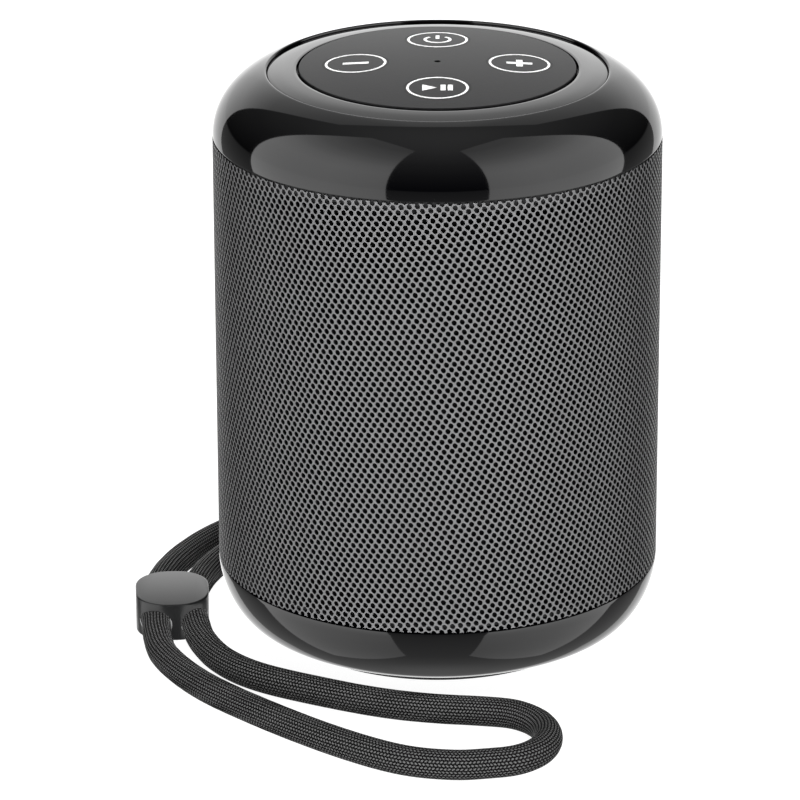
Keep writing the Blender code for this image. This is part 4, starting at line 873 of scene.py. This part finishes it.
def makePortCover():
    p = port
    obj = curvedPlate("portCover", p["cover"], p["coverR"], p["corner"] - 0.5, 0.3)
    parts = [socketPlate(socket, "plug") for socket in sockets]
    # three finger ribs beside the free end
    parts += [curvedPlate("fingerRib", (a, a + 0.9, 22.4, 29.4), (41.7, 42.22), 0.25, 0.12)
              for a in p["ribAngles"]]
    carve(obj, parts, "UNION")
    smoothAgain(obj, 35)
    return finishPiece(obj, "cover", mouldedRubber, ["port_cover"])


makePortFrame()
makePortCover()
print("port cover made")

# lower shell and foot
base = {"bodyR": 42.0, "top": 14.6, "edgeW": 6.84, "power": 1.7, "cornerZ": 3.03, "bottom": 1.2,
        "floor": 4.6, "footOut": 30.5, "footIn": 25.9, "groove": 2.6, "steps": 192,
        # share of the way in from the corner to the foot, and height above the bottom
        "tuck": [(0.22, 1.18), (0.45, 0.65), (0.65, 0.3), (0.85, 0.06)],
        # the inside, from the top edge down: distance in from the outside, and height
        "inside": [(4.4, 14.6), (4.4, 13.0), (2.8, 12.2), (4.0, 9.0), (6.0, 6.4), (9.4, 4.6)]}
pinBlock = {"inner": 30.65, "width": 13.6, "height": 7.4, "bottom": 3.6}
pinPocket = {"inner": 32.65, "outer": 47.0, "width": 9.2, "height": 6.0, "bottom": 3.4, "pinHole": 1.1}
baseScrews = {"ring": 22.0, "angles": (45, 135, 225, 315), "headHole": 3.0, "shaftHole": 1.6}


def baseOutside(inset=0.0):
    b = base
    height = b["top"] - b["cornerZ"]
    corner = b["bodyR"] - b["edgeW"]
    points = []
    for i in range(37):
        a = math.pi / 2 * i / 36
        points.append((corner + b["edgeW"] * max(math.cos(a), 0) ** (2 / b["power"]) - inset,
                       b["top"] - height * math.sin(a) ** (2 / b["power"])))
    points += [(corner - share * (corner - b["footOut"]) - inset, b["bottom"] + up)
               for share, up in b["tuck"]]
    return points + [(b["footOut"], b["bottom"])]


def pinPlate(name, sizes, outer, corner, rim):
    # a block on the strap pin's line, from its inner radius out to this one
    return roundedBlock(name, polar((sizes["inner"] + outer) / 2, clamp["pinAngle"]),
                        (outer - sizes["inner"], sizes["width"], sizes["height"]), corner,
                        sizes["bottom"], clamp["pinAngle"], rim)


def makeBase():
    b = base
    r = b["bodyR"]
    outline = [(0, b["bottom"]), (b["footIn"], b["bottom"]), (b["footIn"], b["groove"]),
               (b["footOut"], b["groove"])]
    outline += baseOutside()[:0:-1] + [(r - 0.03, b["top"] - 0.05), (r - 0.12, b["top"])]
    outline += [(r - inward, z) for inward, z in b["inside"]] + [(0, b["floor"])]
    obj = turnedPiece("glossBase", outline, b["steps"])
    # the block that holds the strap's pin, kept just inside the shell's skin
    block = pinPlate("pinBlock", pinBlock, r, 0.2, 0.1)
    limit = turnedPiece("blockLimit", [(0, b["top"])] + baseOutside(0.5) + [(0, b["bottom"])], 96)
    carve(block, [limit], "INTERSECT")
    carve(obj, [block], "UNION")
    pocket = pinPlate("pinPocket", pinPocket, pinPocket["outer"], 0.6, 0.15)
    carve(obj, [pocket, roundTool(pinPocket["pinHole"], 2.4, 10.4, polar(clamp["pinR"], clamp["pinAngle"]))])
    for angle in baseScrews["angles"]:
        place = polar(baseScrews["ring"], angle)
        carve(obj, [roundTool(baseScrews["headHole"], -1, 3.3, place, 40),
                    roundTool(baseScrews["shaftHole"], -1, 6, place)])
    smoothAgain(obj)
    return finishPiece(obj, "speaker", pianoBlack, ["bottom_shell"])


foot = {"inner": 26.0, "outer": 30.2, "top": 2.3, "steps": 160}


def makeFoot():
    inner, outer, top = foot["inner"], foot["outer"], foot["top"]
    outline = [(outer, top), (inner, top), (inner, 0.35), (inner + 0.1, 0.1), (inner + 0.35, 0),
               (outer - 0.35, 0), (outer - 0.1, 0.1), (outer, 0.35)]
    obj = turnedPiece("footRing", outline, foot["steps"])
    return finishPiece(obj, "speaker", mouldedRubber, ["foot_ring"])


makeBase()
makeFoot()
print("base made")

# finishes of the CAD nodes that stay
finishOf = {
    acousticCloth: ["dust_cloth"],
    grainedAbs: ["chassis", "enclosure_lid", "battery_holder", "radiator_frame", "aux_socket"],
    mouldedRubber: ["lid_gasket", "bottom_seal", "driver_gasket", "driver_surround", "radiator_surround"],
    dippedSteel: ["driver_basket"],
    zincSteel: ["driver_front_plate", "driver_yoke", "usb_socket", "radiator_plate", "microphone",
                "strap_pin"] + ["tact_switch_" + key for key in keyAngles],
    blackZinc: ["%s_screw_%d" % (place, i + 1) for place, count in
                (("top", 3), ("bottom", 4), ("driver", 4), ("key_board", 2)) for i in range(count)],
    ferrite: ["driver_magnet"],
    dippedPaper: ["driver_cone", "dust_cap"],
    stiffCotton: ["spider"],
    woundCopper: ["voice_coil"],
    shrinkSleeve: ["battery"],
    maskedBoard: ["key_board", "main_board", "port_board"],
}
for material, nodes in finishOf.items():
    for node in nodes:
        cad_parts[node].data.materials.clear()
        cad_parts[node].data.materials.append(material)
print("inner finishes set")

# table and light
tableRadius = 3.0
# gloss boxes: metres from the axis, and fades as (height, share of the level) or (place across, share)
sideBox = {"distance": 0.9, "width": 1.52, "low": -2.2, "high": 3.6, "level": 2.25,
           "fade": [(-2.2, 0.3), (-1.77, 0.32), (-1.33, 0.34), (-1.11, 0.38), (-0.93, 0.42), (-0.61, 0.55),
                    (-0.24, 0.95), (0.6, 1.0), (0.85, 0.86), (1.02, 0.7), (1.35, 0.48), (1.77, 0.34),
                    (2.47, 0.2), (3.6, 0.16)]}
backBox = {"distance": 1.2, "width": 2.0, "low": -1.8, "high": 2.6, "level": 1.7,
           "fade": [(-1.8, 0.5), (-0.5, 0.85), (-0.2, 0.95), (0.0, 1.0), (0.45, 1.0), (0.9, 0.48),
                    (1.35, 0.4), (1.7, 0.35), (2.6, 0.25)]}
boxes = [("sideBoxRight", 65.3, sideBox, [(0.0, 0.86), (0.4, 1.0), (1.0, 0.95)]),
         ("sideBoxLeft", -65.3, sideBox, [(0.0, 0.95), (0.6, 1.0), (1.0, 0.86)]),
         ("backBox", 180, backBox, [(0.0, 0.6), (0.3, 0.7), (0.42, 1.0), (0.58, 1.0), (0.7, 0.7),
                                    (1.0, 0.6)])]
# matt fills: place, size and level
fills = [("frontFill", (0, -0.37, 0.075), 0.12, 1.55), ("topFill", (0, -0.4, 1.1), 0.4, 0.5),
         ("rearFill", (0, 0.6, 0.15), 0.5, 0.9), ("sideFillRight", (0.5, 0.36, 0.12), 0.3, 0.18),
         ("sideFillLeft", (-0.5, 0.36, 0.12), 0.3, 0.18)]
# what the gloss finds outside the boxes, from straight down (-1) to straight up (1)
surround = [(-1.0, 0.8), (-0.97, 0.62), (-0.9, 0.48), (-0.6, 0.36), (-0.3, 0.24), (0.02, 0.15), (0.05, 0.02),
            (0.25, 0.05), (0.5, 0.1), (0.75, 0.2), (0.9, 0.32), (1.0, 0.46)]


def makeTable():
    bpy.ops.mesh.primitive_circle_add(vertices=64, radius=tableRadius, fill_type="NGON",
                                      location=(0, 0, 0))
    obj = named("table")
    # opal acrylic, cast and lit from below: even white, shadows hardly show
    made, tree, shader = newMaterial("castOpalAcrylic", "#909090", 0.9, Emission_Strength=0.95)
    shader.inputs["Emission Color"].default_value = (1, 1, 1, 1)
    where = addNode(tree, "TexCoord").outputs["Object"]
    addGrain(tree, where, 30.0, "#8e8e8e", "#929292", spread=(0.0, 1.0))
    obj.data.materials.append(made)
    obj.visible_glossy = False  # the gloss shows the soft boxes, not the table
    obj.visible_diffuse = False  # and no glow from below reaches the undersides
    return obj


def setRamp(ramp, stops, low=0.0, high=1.0):
    while len(ramp.elements) < len(stops):
        ramp.elements.new(0.5)
    for element, (place, grey) in zip(ramp.elements, stops):
        element.position = (place - low) / (high - low)
        element.color = (grey, grey, grey, 1)


def softBox(name, azimuth, box, across):
    # a feathered soft box seen only in the gloss, azimuth counted from the front to the right
    distance, width, tall = box["distance"], box["width"], box["high"] - box["low"]
    data = bpy.data.lights.new(name, "AREA")
    data.shape = "RECTANGLE"
    data.size = width
    data.size_y = tall
    data.energy = box["level"] * width * tall * math.pi
    lamp = bpy.data.objects.new(name, data)
    angle = math.radians(azimuth)
    lamp.location = (math.sin(angle) * distance, -math.cos(angle) * distance, box["low"] + tall / 2)
    lamp.rotation_euler = (math.radians(90), 0, angle)
    lamp.visible_camera = False
    lamp.visible_diffuse = False
    bpy.context.scene.collection.objects.link(lamp)
    data.use_nodes = True
    tree = data.node_tree
    spread = addNode(tree, "NewGeometry")
    split = addNode(tree, "SeparateXYZ", None, {0: spread.outputs["Parametric"]})
    # heights are squeezed towards the sides, so that the box's fades stay level in the gloss
    aside = calc(tree, "MULTIPLY_ADD", split.outputs[0], width / distance, -0.5 * width / distance)
    squeeze = calc(tree, "INVERSE_SQRT", calc(tree, "MULTIPLY_ADD", aside, aside, 1.0))
    height = calc(tree, "MULTIPLY", calc(tree, "MULTIPLY_ADD", split.outputs[1], tall, box["low"]), squeeze)
    rise = addNode(tree, "MapRange", {"From Min": box["low"], "From Max": box["high"]}, {0: height})
    upward = addNode(tree, "ValToRGB", None, {"Fac": rise.outputs[0]})
    setRamp(upward.color_ramp, box["fade"], box["low"], box["high"])
    sideways = addNode(tree, "ValToRGB", None, {"Fac": split.outputs[0]})
    setRamp(sideways.color_ramp, across)
    strength = calc(tree, "MULTIPLY", upward.outputs[0], sideways.outputs[0])
    tree.links.new(strength, tree.nodes["Emission"].inputs["Strength"])
    return lamp


def fillBox(name, place, size, level):
    # a soft light that only the matt surfaces take, level is what a white card facing it would show
    data = bpy.data.lights.new(name, "AREA")
    data.size = size
    data.energy = level * math.pi ** 2 * (Vector(place).length - 0.042) ** 2
    lamp = bpy.data.objects.new(name, data)
    lamp.location = place
    lamp.rotation_euler = (Vector((0, 0, 0.056)) - Vector(place)).to_track_quat("-Z", "Y").to_euler()
    lamp.visible_camera = False
    lamp.visible_glossy = False
    bpy.context.scene.collection.objects.link(lamp)
    return lamp


makeTable()
for box in boxes:
    softBox(*box)
for fill in fills:
    fillBox(*fill)

world = bpy.data.worlds.new("studio")
bpy.context.scene.world = world
world.use_nodes = True
tree = world.node_tree
where = addNode(tree, "TexCoord")
split = addNode(tree, "SeparateXYZ", None, {0: where.outputs["Generated"]})
height = addNode(tree, "MapRange", {"From Min": -1.0, "From Max": 1.0}, {0: split.outputs[2]})
tone = addNode(tree, "ValToRGB", None, {"Fac": height.outputs[0]})
setRamp(tone.color_ramp, surround, -1, 1)
seen = addNode(tree, "LightPath")
dull = addNode(tree, "MixRGB", {"Color2": (0.06, 0.06, 0.06, 1)}, {"Fac": seen.outputs["Is Diffuse Ray"],
                                                                "Color1": tone.outputs[0]})
white = addNode(tree, "MixRGB", {"Color2": (1, 1, 1, 1)}, {"Fac": seen.outputs["Is Camera Ray"],
                                                          "Color1": dull.outputs[0]})
tree.links.new(white.outputs[0], tree.nodes["Background"].inputs["Color"])
print("light set")
